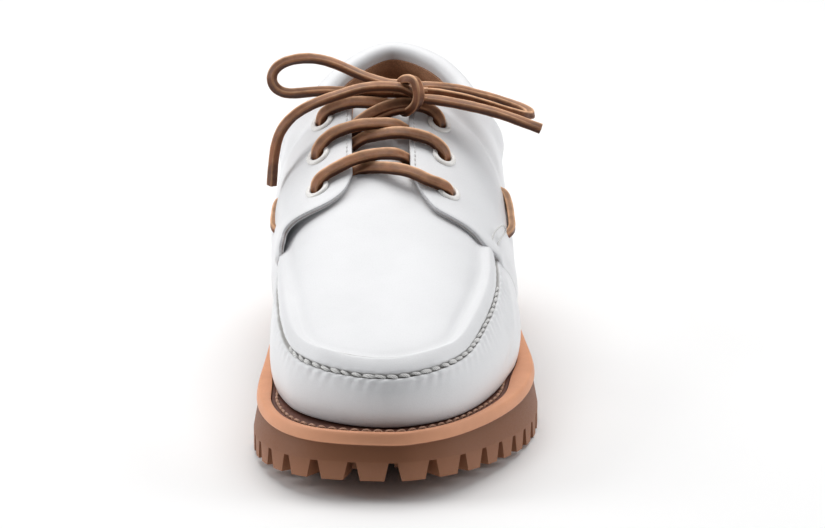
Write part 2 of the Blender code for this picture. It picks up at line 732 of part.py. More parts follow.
def upper():
    net = Net()
    u = section_list()
    m = len(u)
    loop = np.concatenate([u, (2 - u)[-2:0:-1]])
    n = len(loop)
    throat = FLAP_GROUPS[0][2] + len(FLAP_EDGE) - 1
    lower_rows = 4
    wall_rows = lower_rows + len(BELOW_TOP)
    apron_shares = [0.0, 0.18, 0.45, 0.72, 1.0]
    outer, inner, rim = [], [], []
    for i, t in enumerate(loop):
        t = float(t)
        y = float(out_y(t))
        top = edge_phi(t)
        length = phi_spaced(t, top, [0])[1]
        marks = [k / lower_rows * (length - BELOW_TOP[0]) for k in range(lower_rows)]
        marks += [length - d for d in BELOW_TOP]
        phi = phi_spaced(t, top, marks)[0]
        below = np.array([length - x for x in marks])
        front = 1 - float(step(y, 112, 120))
        back = float(step(y, 192, 212))
        lip = np.interp(below, [0, 1.2, 5, 10, 15], [1.0, 1.0, 0.6, -0.4, 0])
        out = quarter_lift(t, phi) + front * MOC_LIP * lip
        bulge = np.interp(below, [0, 1.2, 5, 10, 15], [0.0, 0.6, 1.0, 1.0, 0])
        out = out + back * COLLAR_OUT * bulge
        inward = -WALL - back * COLLAR_IN * np.interp(
            below, [0, 1.2, 5, 10, 15], [0.3, 0.7, 1.0, 1.0, 0]
        )
        outer.append(net.ring(offset(t, phi, out)))
        inner.append(net.ring(offset(t, phi, inward)))
        # crown of the edge, half way between outside and inside
        crown = offset(t, phi[-1:], np.array([(out[-1] + inward[-1]) / 2]))[0]
        over = last(t, min(top + 0.01, 1.0)) - last(t, top)
        over = over / (np.linalg.norm(over) + 1e-9)
        rim.append(net.add(crown + over * (0.5 + 1.3 * back)))
        if i <= throat or i >= n - throat:
            more = np.array(
                [top + (1 - top) * s for s in np.array(apron_shares)]
            )
            more[0] = min(top + 0.012, 1.0)
            zero = np.zeros(len(more))
            outer[-1] += net.ring(offset(t, more, zero))
            inner[-1] += net.ring(offset(t, more, zero - WALL))
    for i in range(n):
        j = (i + 1) % n
        for skin in (outer, inner):
            a, b = skin[i], skin[j]
            for r in range(min(len(a), len(b)) - 1):
                net.face(a[r], b[r], b[r + 1], a[r + 1])
        net.face(outer[i][0], outer[j][0], inner[j][0], inner[i][0])
        if throat <= i < n - throat:
            e = wall_rows - 1
            net.face(outer[i][e], outer[j][e], rim[j], rim[i])
            net.face(rim[i], rim[j], inner[j][e], inner[i][e])
    for i in (throat, n - throat):
        a, b, e = outer[i], inner[i], wall_rows - 1
        net.face(a[e], a[e + 1], b[e + 1], b[e], rim[i])
        for r in range(e + 1, len(a) - 1):
            net.face(a[r], a[r + 1], b[r + 1], b[r])
    used = sorted({v for f in net.faces for v in f})
    new = {v: k for k, v in enumerate(used)}
    net.points = [net.points[v] for v in used]
    net.faces = [[new[v] for v in f] for f in net.faces]
    return net.make("upper", WHITE, 40)


# ------------------------------------------------------------------- tongue
def tongue():
    """Shell under the eyestays, with a low crown that fills the throat."""
    net = Net()
    ys = np.linspace(128.0, 196.0, 9)
    across = np.linspace(-1, 1, 9)
    skins = []
    for thick in (0.0, TONGUE_THICK):
        rows = []
        for y in ys:
            half = 19.0 + 5.0 * step(y, 140, 190)
            row = []
            for a in across:
                t = float(t_at(y, a < 0))
                phi = float(phi_at_reach(t, abs(a) * half))
                depth = WALL + 0.9 + thick
                crown = 1.6 * math.exp(-((a * half / 8.0) ** 4)) * float(step(y, 145, 155))
                p = offset(t, phi, np.array(crown - depth))
                row.append(net.add(p))
            rows.append(row)
        skins.append(rows)
    for rows in skins:
        for a, b in zip(rows, rows[1:]):
            net.bridge(a, b, closed=False)
    border = lambda rows: (
        rows[0] + [r[-1] for r in rows[1:-1]] + rows[-1][::-1] + [r[0] for r in rows[-2:0:-1]]
    )
    net.bridge(border(skins[0]), border(skins[1]))
    return net.make("tongue", WHITE, 50)


# ------------------------------------------------------------------ eyelets
def eyelet_frames():
    """(name, centre on the flap's outside, outward direction) of the six eyelets."""
    found = []
    for k, (ym, rm, yl, rl) in enumerate(EYELETS):
        for side, y, reach in (("medial", ym, rm), ("lateral", yl, rl)):
            t = float(t_at(y, side == "medial"))
            phi = float(phi_at_reach(t, reach))
            lift = float(quarter_lift(t, phi))
            found.append(
                (f"eyelet_{side}_{k + 1}", offset(t, phi, np.array(lift)), last_normal(t, phi))
            )
    return found


def turned(name, mat, profile, centre, axis, steps=14):
    """Ring turned from (radius, height) pairs, with its height along axis."""
    net = Net()
    up = Vector(axis)
    turn = up.to_track_quat("Z", "Y").to_matrix()
    rings = []
    for r, h in profile:
        pts = []
        for k in range(steps):
            a = 2 * math.pi * k / steps
            pts.append(np.array(turn @ Vector((r * math.cos(a), r * math.sin(a), h))) + centre)
        rings.append(net.ring(pts))
    for a, b in zip(rings, rings[1:] + rings[:1]):
        net.bridge(a, b)
    return net.make(name, mat, 40)


def eyelets():
    flange, barrel = 0.9, WALL + FLAP_LIFT + 0.2
    profile = [
        (EYELET_HOLE, flange * 0.7),
        (EYELET_HOLE + 0.5, flange),
        (EYELET_OUT - 0.7, flange),
        (EYELET_OUT, flange * 0.4),
        (EYELET_OUT, 0.0),
        (EYELET_BARREL, 0.0),
        (EYELET_BARREL, -barrel),
        (EYELET_HOLE, -barrel),
    ]
    for name, centre, axis in eyelet_frames():
        turned(name, ENAMEL, profile, centre + axis * 0.7, axis)


def eyelet_holes(upper_obj):
    """Punches a hole through flap and lining at each eyelet."""
    net = Net()
    for name, centre, axis in eyelet_frames():
        turn = Vector(axis).to_track_quat("Z", "Y").to_matrix()
        ends = []
        for h in (-9.0, 6.0):
            pts = []
            for k in range(14):
                a = 2 * math.pi * (k + 0.5) / 14
                r = EYELET_BARREL + 0.5
                pts.append(np.array(turn @ Vector((r * math.cos(a), r * math.sin(a), h))) + centre)
            ends.append(net.ring(pts))
        net.bridge(*ends)
        net.face(*ends[0])
        net.face(*ends[1])
    cut(upper_obj, net.make("eyelet_punch", ENAMEL))


# -------------------------------------------------------------------- laces
def through(points, count):
    """count points, evenly spaced, on a smooth curve through the route's own points."""
    p = np.array(points, float)
    run = np.concatenate([[0], np.cumsum(np.linalg.norm(np.diff(p, axis=0), axis=1))])
    curve = [smooth(run, p[:, k]) for k in range(3)]
    fine = np.linspace(0, run[-1], 600)
    q = np.stack([c(fine) for c in curve], -1)
    far = np.concatenate([[0], np.cumsum(np.linalg.norm(np.diff(q, axis=0), axis=1))])
    at = np.interp(np.linspace(0, far[-1], count), far, fine)
    return np.stack([c(at) for c in curve], -1)


def strand(name, path, ups, thick=LACE_THICK):
    """Square-cut lace along path, with its flat side facing ups."""
    net = Net()
    rings = []
    for i, p in enumerate(path):
        d = path[min(i + 1, len(path) - 1)] - path[max(i - 1, 0)]
        d = d / np.linalg.norm(d)
        across = np.cross(d, ups[i])
        across /= np.linalg.norm(across)
        up = np.cross(across, d)
        w, h = across * LACE_WIDE / 2, up * thick / 2
        rings.append(net.ring([p + w + h, p - w + h, p - w - h, p + w - h]))
    for a, b in zip(rings, rings[1:]):
        net.bridge(a, b)
    net.face(*rings[0])
    net.face(*rings[-1])
    return net.make(name, LACE, 30)


def crossing_path(rows, count=11):
    """Points and outward directions along a lace that lies over the instep."""
    pts, ups = [], []
    for y, reach, lift in rows:
        t = float(t_at(y, reach < 0))
        phi = float(phi_at_reach(t, abs(reach)))
        pts.append(offset(t, phi, np.array(lift)))
        ups.append(last_normal(t, phi))
    run = np.concatenate([[0], np.cumsum(np.linalg.norm(np.diff(pts, axis=0), axis=1))])
    even = np.linspace(0, run[-1], count)
    ups = np.stack([np.interp(even, run, np.array(ups)[:, k]) for k in range(3)], -1)
    return through(pts, count), ups


def laces():
    for name, (first, second) in CROSSINGS.items():
        over = strand(name, *crossing_path(first))
        under = strand(name + "_second", *crossing_path(second))
        cut(over, under, "UNION")
    for name, rows in SIDE_LACES.items():
        path = through([(x, y, z) for y, x, z in rows], 8)
        strand(name, path, [np.array([1.0, 0, 0])] * len(path), SIDE_LACE_THICK)


def knot():
    low, high = (np.array(c) for c in KNOT_BOX)
    mesh = bpy.data.meshes.new("bow_knot")
    bm = bmesh.new()
    bmesh.ops.create_cube(bm, size=1)
    for v in bm.verts:
        v.co = place([(low[k] + high[k]) / 2 + v.co[k] * (high[k] - low[k]) for k in range(3)])
    bmesh.ops.bevel(
        bm, geom=bm.edges, offset=0.0016, segments=2, profile=0.5, affect="EDGES", clamp_overlap=True
    )
    bm.to_mesh(mesh)
    bm.free()
    mesh.shade_smooth()
    mesh.set_sharp_from_angle(angle=math.radians(50))
    mesh.materials.append(LACE)
    bpy.context.collection.objects.link(bpy.data.objects.new("bow_knot", mesh))


def cords():
    for name, (count, route) in BOW.items():
        curve = bpy.data.curves.new(name, "CURVE")
        curve.dimensions = "3D"
        curve.bevel_depth = LACE_D / 2000
        curve.bevel_resolution = 2
        curve.use_fill_caps = True
        spline = curve.splines.new("POLY")
        spline.points.add(count - 1)
        for point, p in zip(spline.points, through(route, count)):
            point.co = (*place(p), 1)
        curve.materials.append(LACE)
        bpy.context.collection.objects.link(bpy.data.objects.new(name, curve))


outsole()
midsole()
insole()
the_upper = upper()
tongue()
eyelets()
eyelet_holes(the_upper)
laces()
knot()
cords()
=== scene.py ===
"""Looks of a left low lace shoe with a moccasin toe and a lugged rubber sole.

Everything is designed in shoe millimetres: x is 0 near the middle line and
grows to the outer (lateral) side, y is 0 at the toe tip and grows to the heel,
z is 0 on the floor. place() turns that into the frame's metres.
"""

import math

import bmesh
import bpy
import numpy as np
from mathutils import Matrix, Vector
from mathutils.bvhtree import BVHTree
from mathutils.geometry import delaunay_2d_cdt


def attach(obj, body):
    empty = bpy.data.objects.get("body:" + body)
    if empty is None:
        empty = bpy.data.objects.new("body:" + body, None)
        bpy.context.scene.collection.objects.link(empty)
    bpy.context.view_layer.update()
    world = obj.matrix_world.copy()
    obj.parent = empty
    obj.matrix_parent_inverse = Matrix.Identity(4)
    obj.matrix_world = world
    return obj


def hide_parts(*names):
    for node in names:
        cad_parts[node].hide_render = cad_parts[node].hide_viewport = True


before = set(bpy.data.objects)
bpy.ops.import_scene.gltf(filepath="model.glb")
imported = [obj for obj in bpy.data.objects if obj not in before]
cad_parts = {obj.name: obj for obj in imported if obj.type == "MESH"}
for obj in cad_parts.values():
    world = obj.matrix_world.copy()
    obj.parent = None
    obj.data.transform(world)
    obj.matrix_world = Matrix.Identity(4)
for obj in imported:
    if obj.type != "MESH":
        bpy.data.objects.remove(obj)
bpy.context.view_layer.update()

# ---------------------------------------------------------------- sizes, mm
SOLE_LENGTH = 300.0
SOLE_MID_X = 2.07
GAP = 0.3

RIM_HEIGHT = 4.8  # smooth band round the top of the outsole
RIM_TOP = [(0.0, 3.5), (18.0, 3.6), (45.0, 4.6), (75.0, 5.2), (300.0, 5.2)]  # y, width
RIM_ROUND = 1.0
SIDE_FLARE = 1.3
LUG_DEPTH = 7.5
LUG_REACH = 13.0
LUG_TAPER = 1.7
LUGS_A_SIDE = 27
TOE_PITCH = [16.2, 15.3, 13.8]
LUG_SHARE = 0.79
ARCH_Y = (152.0, 209.0)

MIDSOLE_THICK = 3.0
MIDSOLE_BELOW_RIM = 0.8
INSOLE_THICK = 3.2
WELT_STITCH = 4.6  # pitch of the sole's seam

WALL = 2.0
QUARTER_LAP = 1.2
FLAP_LIFT = 3.0
MEDIAL_FLAP_LIFT = 2.6
COLLAR_OUT = 2.0
COLLAR_IN = 3.2
MOC_LIP = 1.6  # raised roll of the moccasin seam
MOC_STITCH = 4.8  # pitch of the moccasin seam's hand stitches

THROAT_HALF = 11.6
THROAT_Y = 143.0
MOC_END_Y = 118.0
EYESTAY_END_Y = 191.0
BODY_END_Y = 150.0  # the vamp ends here under the quarters

TONGUE_THICK = 2.2
EYELET_OUT, EYELET_HOLE, EYELET_BARREL = 5.4, 3.1, 3.5
LACE_WIDE, LACE_THICK = 3.7, 3.4

# Sole's top edge in plan, toe to heel: y, medial x, lateral x
SOLE_EDGE = [
    (0.3, -0.6, -0.6),
    (3.0, -20.0, 9.8),
    (10.5, -36.0, 21.5),
    (22.0, -45.2, 32.0),
    (40.0, -51.8, 43.6),
    (60.0, -54.3, 52.2),
    (80.0, -54.0, 57.0),
    (100.0, -52.3, 58.6),
    (125.0, -50.2, 56.8),
    (150.0, -48.2, 54.4),
    (175.0, -46.4, 52.2),
    (200.0, -45.0, 50.8),
    (225.0, -43.2, 49.6),
    (250.0, -39.6, 46.4),
    (272.0, -31.0, 38.6),
    (290.0, -16.5, 24.5),
    (299.7, 4.0, 4.0),
]
# Heights along the sole: y, top edge, lug ends
SOLE_HEIGHT = [
    (0.0, 27.6, 8.4),
    (30.0, 26.3, 5.0),
    (60.0, 25.5, 1.6),
    (82.0, 25.2, 0.0),
    (110.0, 25.1, 0.0),
    (140.0, 26.0, 0.0),
    (175.0, 28.2, 0.0),
    (210.0, 30.8, 0.0),
    (250.0, 33.0, 0.0),
    (284.0, 34.2, 0.0),
    (300.0, 34.6, 1.2),
]
# Sections of the upper: y, medial x, lateral x, height of the widest line
# medial and lateral, roundness of the arch medial and lateral, tuck at the sole
SECTIONS = [
    (9.0, -3.0, -3.0, 35, 35, 3.4, 3.4, 1.6),
    (13.0, -17.5, 11.5, 35, 35, 3.4, 3.2, 1.6),
    (22.0, -30.5, 23.5, 35, 35, 3.4, 3.0, 1.6),
    (35.0, -40.3, 32.7, 35, 34, 3.4, 2.8, 1.6),
    (52.0, -45.8, 40.6, 35, 33, 3.4, 2.5, 1.8),
    (75.0, -49.0, 47.8, 35, 33, 3.3, 2.3, 2.0),
    (100.0, -48.8, 52.8, 37, 34, 2.9, 2.15, 2.2),
    (125.0, -47.6, 53.0, 43, 36, 2.3, 2.0, 3.4),
    (150.0, -47.8, 51.8, 51, 43, 2.08, 1.92, 5.0),
    (175.0, -47.4, 50.8, 56, 51, 2.12, 2.05, 6.0),
    (200.0, -46.0, 49.8, 58, 55, 2.1, 2.12, 6.0),
    (225.0, -43.2, 48.2, 58, 56, 2.05, 2.05, 5.4),
    (250.0, -36.8, 43.0, 57, 55, 2.0, 2.0, 4.0),
    (270.0, -28.5, 35.5, 58, 57, 2.0, 2.0, 3.6),
    (286.0, -15.5, 23.0, 58, 58, 2.0, 2.0, 3.4),
    (295.5, 4.0, 4.0, 58, 58, 2.0, 2.0, 3.4),
]
# Ridge of the last, as if the shoe were closed over the ankle: y, z, x
RIDGE = [
    (0, 49.0, -3.0),
    (18, 53.3, -3.0),
    (40, 57.6, -3.0),
    (60, 62.2, -2.6),
    (80, 67.6, -2.6),
    (100, 74.2, -2.8),
    (120, 82.0, -3.0),
    (145, 92.3, -3.2),
    (165, 101.0, -3.2),
    (185, 109.0, -2.8),
    (200, 119.0, -1.5),
    (215, 138.0, 0.5),
    (230, 154.0, 2.5),
    (245, 162.0, 3.5),
    (300, 165.0, 4.0),
]
RIDGE_ENDS = (46.0, 238.0)
# Top line behind the eyestays: y of the section, height medial and lateral
TOP_LINE = [
    (191.0, None, None),
    (200.0, 105.6, 105.6),
    (205.0, 101.5, 101.8),
    (210.0, 95.5, 96.4),
    (216.0, 89.0, 90.5),
    (224.0, 84.8, 87.0),
    (236.0, 84.6, 87.2),
    (252.0, 88.6, 91.0),
    (268.0, 95.0, 97.6),
    (284.0, 102.6, 104.8),
    (295.5, 108.5, 108.5),
]
# Crest of the moccasin seam, as a share of the section from wall to ridge,
# and how far below it the hand stitches run: y, medial, lateral, drop in mm
MOC_CREST = [
    (9.0, 0.62, 0.62, 8.4),
    (22.0, 0.55, 0.57, 7.2),
    (35.0, 0.48, 0.52, 6.0),
    (52.0, 0.45, 0.51, 5.8),
    (75.0, 0.448, 0.485, 5.8),
    (100.0, 0.37, 0.465, 5.6),
    (118.0, 0.31, 0.46, 5.6),
    (150.0, 0.28, 0.45, 5.6),
]
# Front edge of each eyestay flap: y, distance from the ridge, medial and lateral
FLAP_EDGE = [
    (118.0, 40.5, 41.5),
    (120.0, 39.2, 38.0),
    (121.8, 38.0, 32.0),
    (123.2, 37.4, 25.0),
    (125.2, 36.8, 20.8),
    (127.2, 31.0, 19.2),
    (128.8, 21.0, 18.2),
    (131.5, 17.0, 16.7),
    (135.0, 14.4, 15.2),
    (139.0, 12.9, 13.6),
    (143.0, 11.6, 11.6),
]
# Seam of the quarter over the vamp: y, share of the section from sole (-1) to ridge
QUARTER_SEAM = [(119.6, 0.36), (121.5, 0.31), (125.0, 0.24), (130.0, 0.12), (134.0, 0.0), (138.0, -0.4), (141.0, -1.0)]
# Eyelets: y and distance from the ridge, medial then lateral
EYELETS = [
    (140.5, 25.0, 138.5, 26.3),
    (161.0, 24.6, 158.8, 25.0),
    (181.5, 23.0, 177.6, 23.4),
]


# ------------------------------------------------------------ plain splines
def monotone(points):
    """Curve through (x, y) points with no overshoot between them."""
    x, y = (np.array(c, float) for c in zip(*points))
    h = np.diff(x)
    d = np.diff(y) / h
    m = np.concatenate([[d[0]], np.zeros(len(x) - 2), [d[-1]]])
    for i in range(1, len(x) - 1):
        if d[i - 1] * d[i] > 0:
            w1, w2 = 2 * h[i] + h[i - 1], h[i] + 2 * h[i - 1]
            m[i] = (w1 + w2) / (w1 / d[i - 1] + w2 / d[i])

    def value(at):
        at = np.clip(np.asarray(at, float), x[0], x[-1])
        i = np.clip(np.searchsorted(x, at, side="right") - 1, 0, len(x) - 2)
        t = (at - x[i]) / h[i]
        return (
            (1 + 2 * t) * (1 - t) ** 2 * y[i]
            + t * (1 - t) ** 2 * h[i] * m[i]
            + t * t * (3 - 2 * t) * y[i + 1]
            + t * t * (t - 1) * h[i] * m[i + 1]
        )

    return value


def smooth(x, y):
    """Natural cubic spline through (x, y)."""
    x, y = np.asarray(x, float), np.asarray(y, float)
    n, h = len(x), np.diff(x)
    a, b = np.eye(n), np.zeros(n)
    for i in range(1, n - 1):
        a[i, i - 1 : i + 2] = h[i - 1], 2 * (h[i - 1] + h[i]), h[i]
        b[i] = 6 * ((y[i + 1] - y[i]) / h[i] - (y[i] - y[i - 1]) / h[i - 1])
    m = np.linalg.solve(a, b)

    def value(at):
        at = np.asarray(at, float)
        i = np.clip(np.searchsorted(x, at, side="right") - 1, 0, n - 2)
        t, u, k = at - x[i], x[i + 1] - at, h[i]
        return (
            (m[i] * u**3 + m[i + 1] * t**3) / (6 * k)
            + (y[i] / k - m[i] * k / 6) * u
            + (y[i + 1] / k - m[i + 1] * k / 6) * t
        )

    return value


def round_trip(knots, medial, lateral):
    """Closed curve over t in 0..2: out along the lateral column from toe to heel, back by the medial."""
    t = np.concatenate([knots, 2 - knots[-2:0:-1]])
    v = np.concatenate([lateral, medial[-2:0:-1]])
    f = smooth(np.concatenate([t - 2, t, t + 2]), np.concatenate([v, v, v]))
    return lambda at: f(np.mod(at, 2.0))


def side_knots(rows):
    y, half = rows[:, 0], (rows[:, 2] - rows[:, 1]) / 2
    run = np.concatenate([[0], np.cumsum(np.hypot(np.diff(y), np.diff(half)))])
    return run / run[-1]


def step(x, a, b):
    """0 below a, 1 above b, smooth between."""
    t = np.clip((np.asarray(x, float) - a) / (b - a), 0, 1)
    return t * t * (3 - 2 * t)


def bump(x, centre, width):
    """1 at centre, fading over width."""
    return np.exp(-(((np.asarray(x, float) - centre) / width) ** 2))


def run_of(points):
    """Length along a row of points, from 0 at its first."""
    p = np.asarray(points, float)
    return np.concatenate([[0], np.cumsum(np.linalg.norm(np.diff(p, axis=0), axis=1))])


def unit(v):
    return v / (np.linalg.norm(v, axis=-1)[..., None] + 1e-12)


def wobble(x, seed, *waves):
    """Smooth irregular value near -1..1 along x; waves are wavelengths."""
    x = np.asarray(x, float)
    total = 0
    for k, w in enumerate(waves):
        total = total + np.sin(2 * math.pi * x / w + 1.7 * seed + 2.3 * k) / (k + 1)
    return total / sum(1 / (k + 1) for k in range(len(waves)))


# ------------------------------------------------------------- the last
_up = np.array(SECTIONS, float)
_k = side_knots(_up)
out_y = round_trip(_k, _up[:, 0], _up[:, 0])
out_x = round_trip(_k, _up[:, 1], _up[:, 2])
z_wide = round_trip(_k, _up[:, 3], _up[:, 4])
power = round_trip(_k, _up[:, 5], _up[:, 6])
tuck = round_trip(_k, _up[:, 7], _up[:, 7])
_ridge = np.array(RIDGE, float)
ridge_z = smooth(_ridge[:, 0], _ridge[:, 1])
ridge_x = smooth(_ridge[:, 0], _ridge[:, 2])
sole_top = monotone([(y, a) for y, a, b in SOLE_HEIGHT])
lug_end = monotone([(y, b) for y, a, b in SOLE_HEIGHT])
rim_top = monotone(RIM_TOP)
FOOT_LINE = GAP - MIDSOLE_BELOW_RIM


def ridge_point(t):
    """Where the section at t meets the ridge, in plan."""
    a, b, w = *RIDGE_ENDS, 5.0
    y = out_y(t)
    y = a + w * np.logaddexp(0, (y - a) / w)
    y = b - w * np.logaddexp(0, (b - y) / w)
    return np.stack([ridge_x(y), y], -1)


def last(t, phi):
    """Point of the outer surface: phi is -1 at the sole, 0 where the wall is widest, 1 on the ridge."""
    t, phi = np.broadcast_arrays(np.asarray(t, float), np.asarray(phi, float))
    o, s = np.stack([out_x(t), out_y(t)], -1), ridge_point(t)
    n, zw = power(t), z_wide(t)
    up = np.clip(phi, 0, 1) * math.pi / 2
    plan = s + (o - s) * (np.cos(up) ** (2 / n))[..., None]
    z = zw + (ridge_z(plan[..., 1]) - zw) * np.sin(up) ** (2 / n)
    down = np.clip(-phi, 0, 1) * math.pi / 2
    out = (o - s) / np.linalg.norm(o - s, axis=-1)[..., None]
    plan = plan - out * (tuck(t) * (1 - np.cos(down)))[..., None]
    foot = sole_top(plan[..., 1]) + FOOT_LINE
    z = np.where(phi < 0, zw - (zw - foot) * np.sin(down), z)
    return np.concatenate([plan, z[..., None]], -1)


def last_normal(t, phi):
    """Outward direction, level on the wall below its widest line."""
    t, phi = np.broadcast_arrays(np.asarray(t, float), np.asarray(phi, float))
    e, f = 2e-4, 2e-3
    p = np.clip(phi, 0.01, 0.985)
    a = last(t + e, p) - last(t - e, p)
    b = last(t, np.minimum(p + f, 0.995)) - last(t, p - f)
    n = unit(np.cross(a, b))
    # on the ridge the surface only slopes along the shoe
    y = ridge_point(t)[..., 1]
    slope = (ridge_z(y + 0.5) - ridge_z(y - 0.5)) / 1.0
    top = unit(np.stack([0 * slope, -slope, 1 + 0 * slope], -1))
    w = step(phi, 0.93, 0.99)[..., None]
    n = n * (1 - w) + top * w
    o, s = np.stack([out_x(t), out_y(t)], -1), ridge_point(t)
    level = unit(np.concatenate([o - s, 0 * slope[..., None]], -1))
    w = (1 - step(phi, 0.0, 0.12))[..., None]
    return unit(n * (1 - w) + level * w)


def offset(t, phi, by):
    return last(t, phi) + last_normal(t, phi) * np.asarray(by, float)[..., None]


_fine = np.linspace(0, 1, 4001)
_fine_y = out_y(_fine)


def u_at(y):
    """Share of the way from toe to heel where the outline is at y."""
    return np.interp(y, _fine_y, _fine)


def t_at(y, medial):
    return np.where(medial, 2 - u_at(y), u_at(y))


def phi_at_reach(t, reach):
    """Where the section is this far from the ridge in plan."""
    o, s = np.stack([out_x(t), out_y(t)], -1), ridge_point(t)
    c = np.clip(np.asarray(reach) / np.linalg.norm(o - s, axis=-1), 0, 1)
    return np.arccos(c ** (power(t) / 2)) * 2 / math.pi


def phi_at_height(t, z):
    grid = np.linspace(0, 1, 400)
    return float(np.interp(z, last(t, grid)[:, 2], grid))


_edge = np.array(SOLE_EDGE, float)
_ks = side_knots(_edge)
edge_x = round_trip(_ks, _edge[:, 1], _edge[:, 2])
edge_y = round_trip(_ks, _edge[:, 0], _edge[:, 0])


def sole_edge(t, inset):
    """Sole's outline drawn in by inset, in plan."""
    e = 1e-4
    p = np.stack([edge_x(t), edge_y(t)], -1)
    d = unit(np.stack([edge_x(t + e) - edge_x(t - e), edge_y(t + e) - edge_y(t - e)], -1))
    return p - np.stack([d[..., 1], -d[..., 0]], -1) * np.asarray(inset)[..., None]


# ------------------------------------------------------------ mesh helpers
def place(p):
    p = np.asarray(p, float)
    return (p - (SOLE_MID_X, SOLE_LENGTH / 2, 0)) / 1000


class Net:
    """Vertices and faces of one piece in shoe mm, with a material number for
    each face and a painted shading value for each vertex: 0 none, 1 full painted shade as far down in a seam; on laces
    it also carries rubbing and painted highlight."""

    def __init__(self):
        self.points, self.faces, self.mats, self.painted_shading_and_wear = [], [], [], []

    def add(self, points, painted_shading_and_wear=0.0):
        points = np.asarray(points, float).reshape(-1, 3)
        first = len(self.points)
        self.points += points.tolist()
        self.painted_shading_and_wear += np.broadcast_to(painted_shading_and_wear, len(points)).astype(float).tolist()
        return list(range(first, first + len(points)))

    def face(self, ids, mat=0):
        self.faces.append(list(ids))
        self.mats.append(mat)

    def bridge(self, a, b, closed=True, mat=0):
        n = len(a)
        for i in range(n if closed else n - 1):
            j = (i + 1) % n
            self.face((a[i], a[j], b[j], b[i]), mat)

    def grid(self, points, painted_shading_and_wear=0.0, wrap=False, mat=0):
        """points is rows of columns; wrap closes each row on itself."""
        points = np.asarray(points, float)
        rows, cols = points.shape[:2]
        painted_shading_and_wear = np.broadcast_to(painted_shading_and_wear, (rows, cols))
        ids = [self.add(points[r], painted_shading_and_wear[r]) for r in range(rows)]
        for a, b in zip(ids, ids[1:]):
            self.bridge(a, b, wrap, mat)
        return ids

    def make(self, name, mats, angle=40, merge=3e-6, recalc=True):
        mesh = bpy.data.meshes.new(name)
        mesh.from_pydata(place(self.points).tolist(), [], self.faces)
        mesh.polygons.foreach_set("material_index", self.mats)
        painted_shading_and_wear = mesh.attributes.new("painted_shading_and_wear", "FLOAT", "POINT")
        painted_shading_and_wear.data.foreach_set("value", self.painted_shading_and_wear)
        bm = bmesh.new()
        bm.from_mesh(mesh)
        if merge:
            bmesh.ops.remove_doubles(bm, verts=bm.verts, dist=merge)
            bmesh.ops.dissolve_degenerate(bm, edges=bm.edges, dist=1e-7)
        if recalc:
            bmesh.ops.recalc_face_normals(bm, faces=bm.faces)
        bm.to_mesh(mesh)
        bm.free()
        mesh.shade_smooth()
        mesh.set_sharp_from_angle(angle=math.radians(angle))
        for m in mats if isinstance(mats, (list, tuple)) else [mats]:
            mesh.materials.append(m)
        obj = bpy.data.objects.new(name, mesh)
        bpy.context.collection.objects.link(obj)
        return obj


def show(obj, slot, *nodes):
    """The piece rides on the shoe and stands for these CAD nodes, which it hides; slot is not used."""
    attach(obj, "root")
    if nodes:
        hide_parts(*nodes)
    return obj


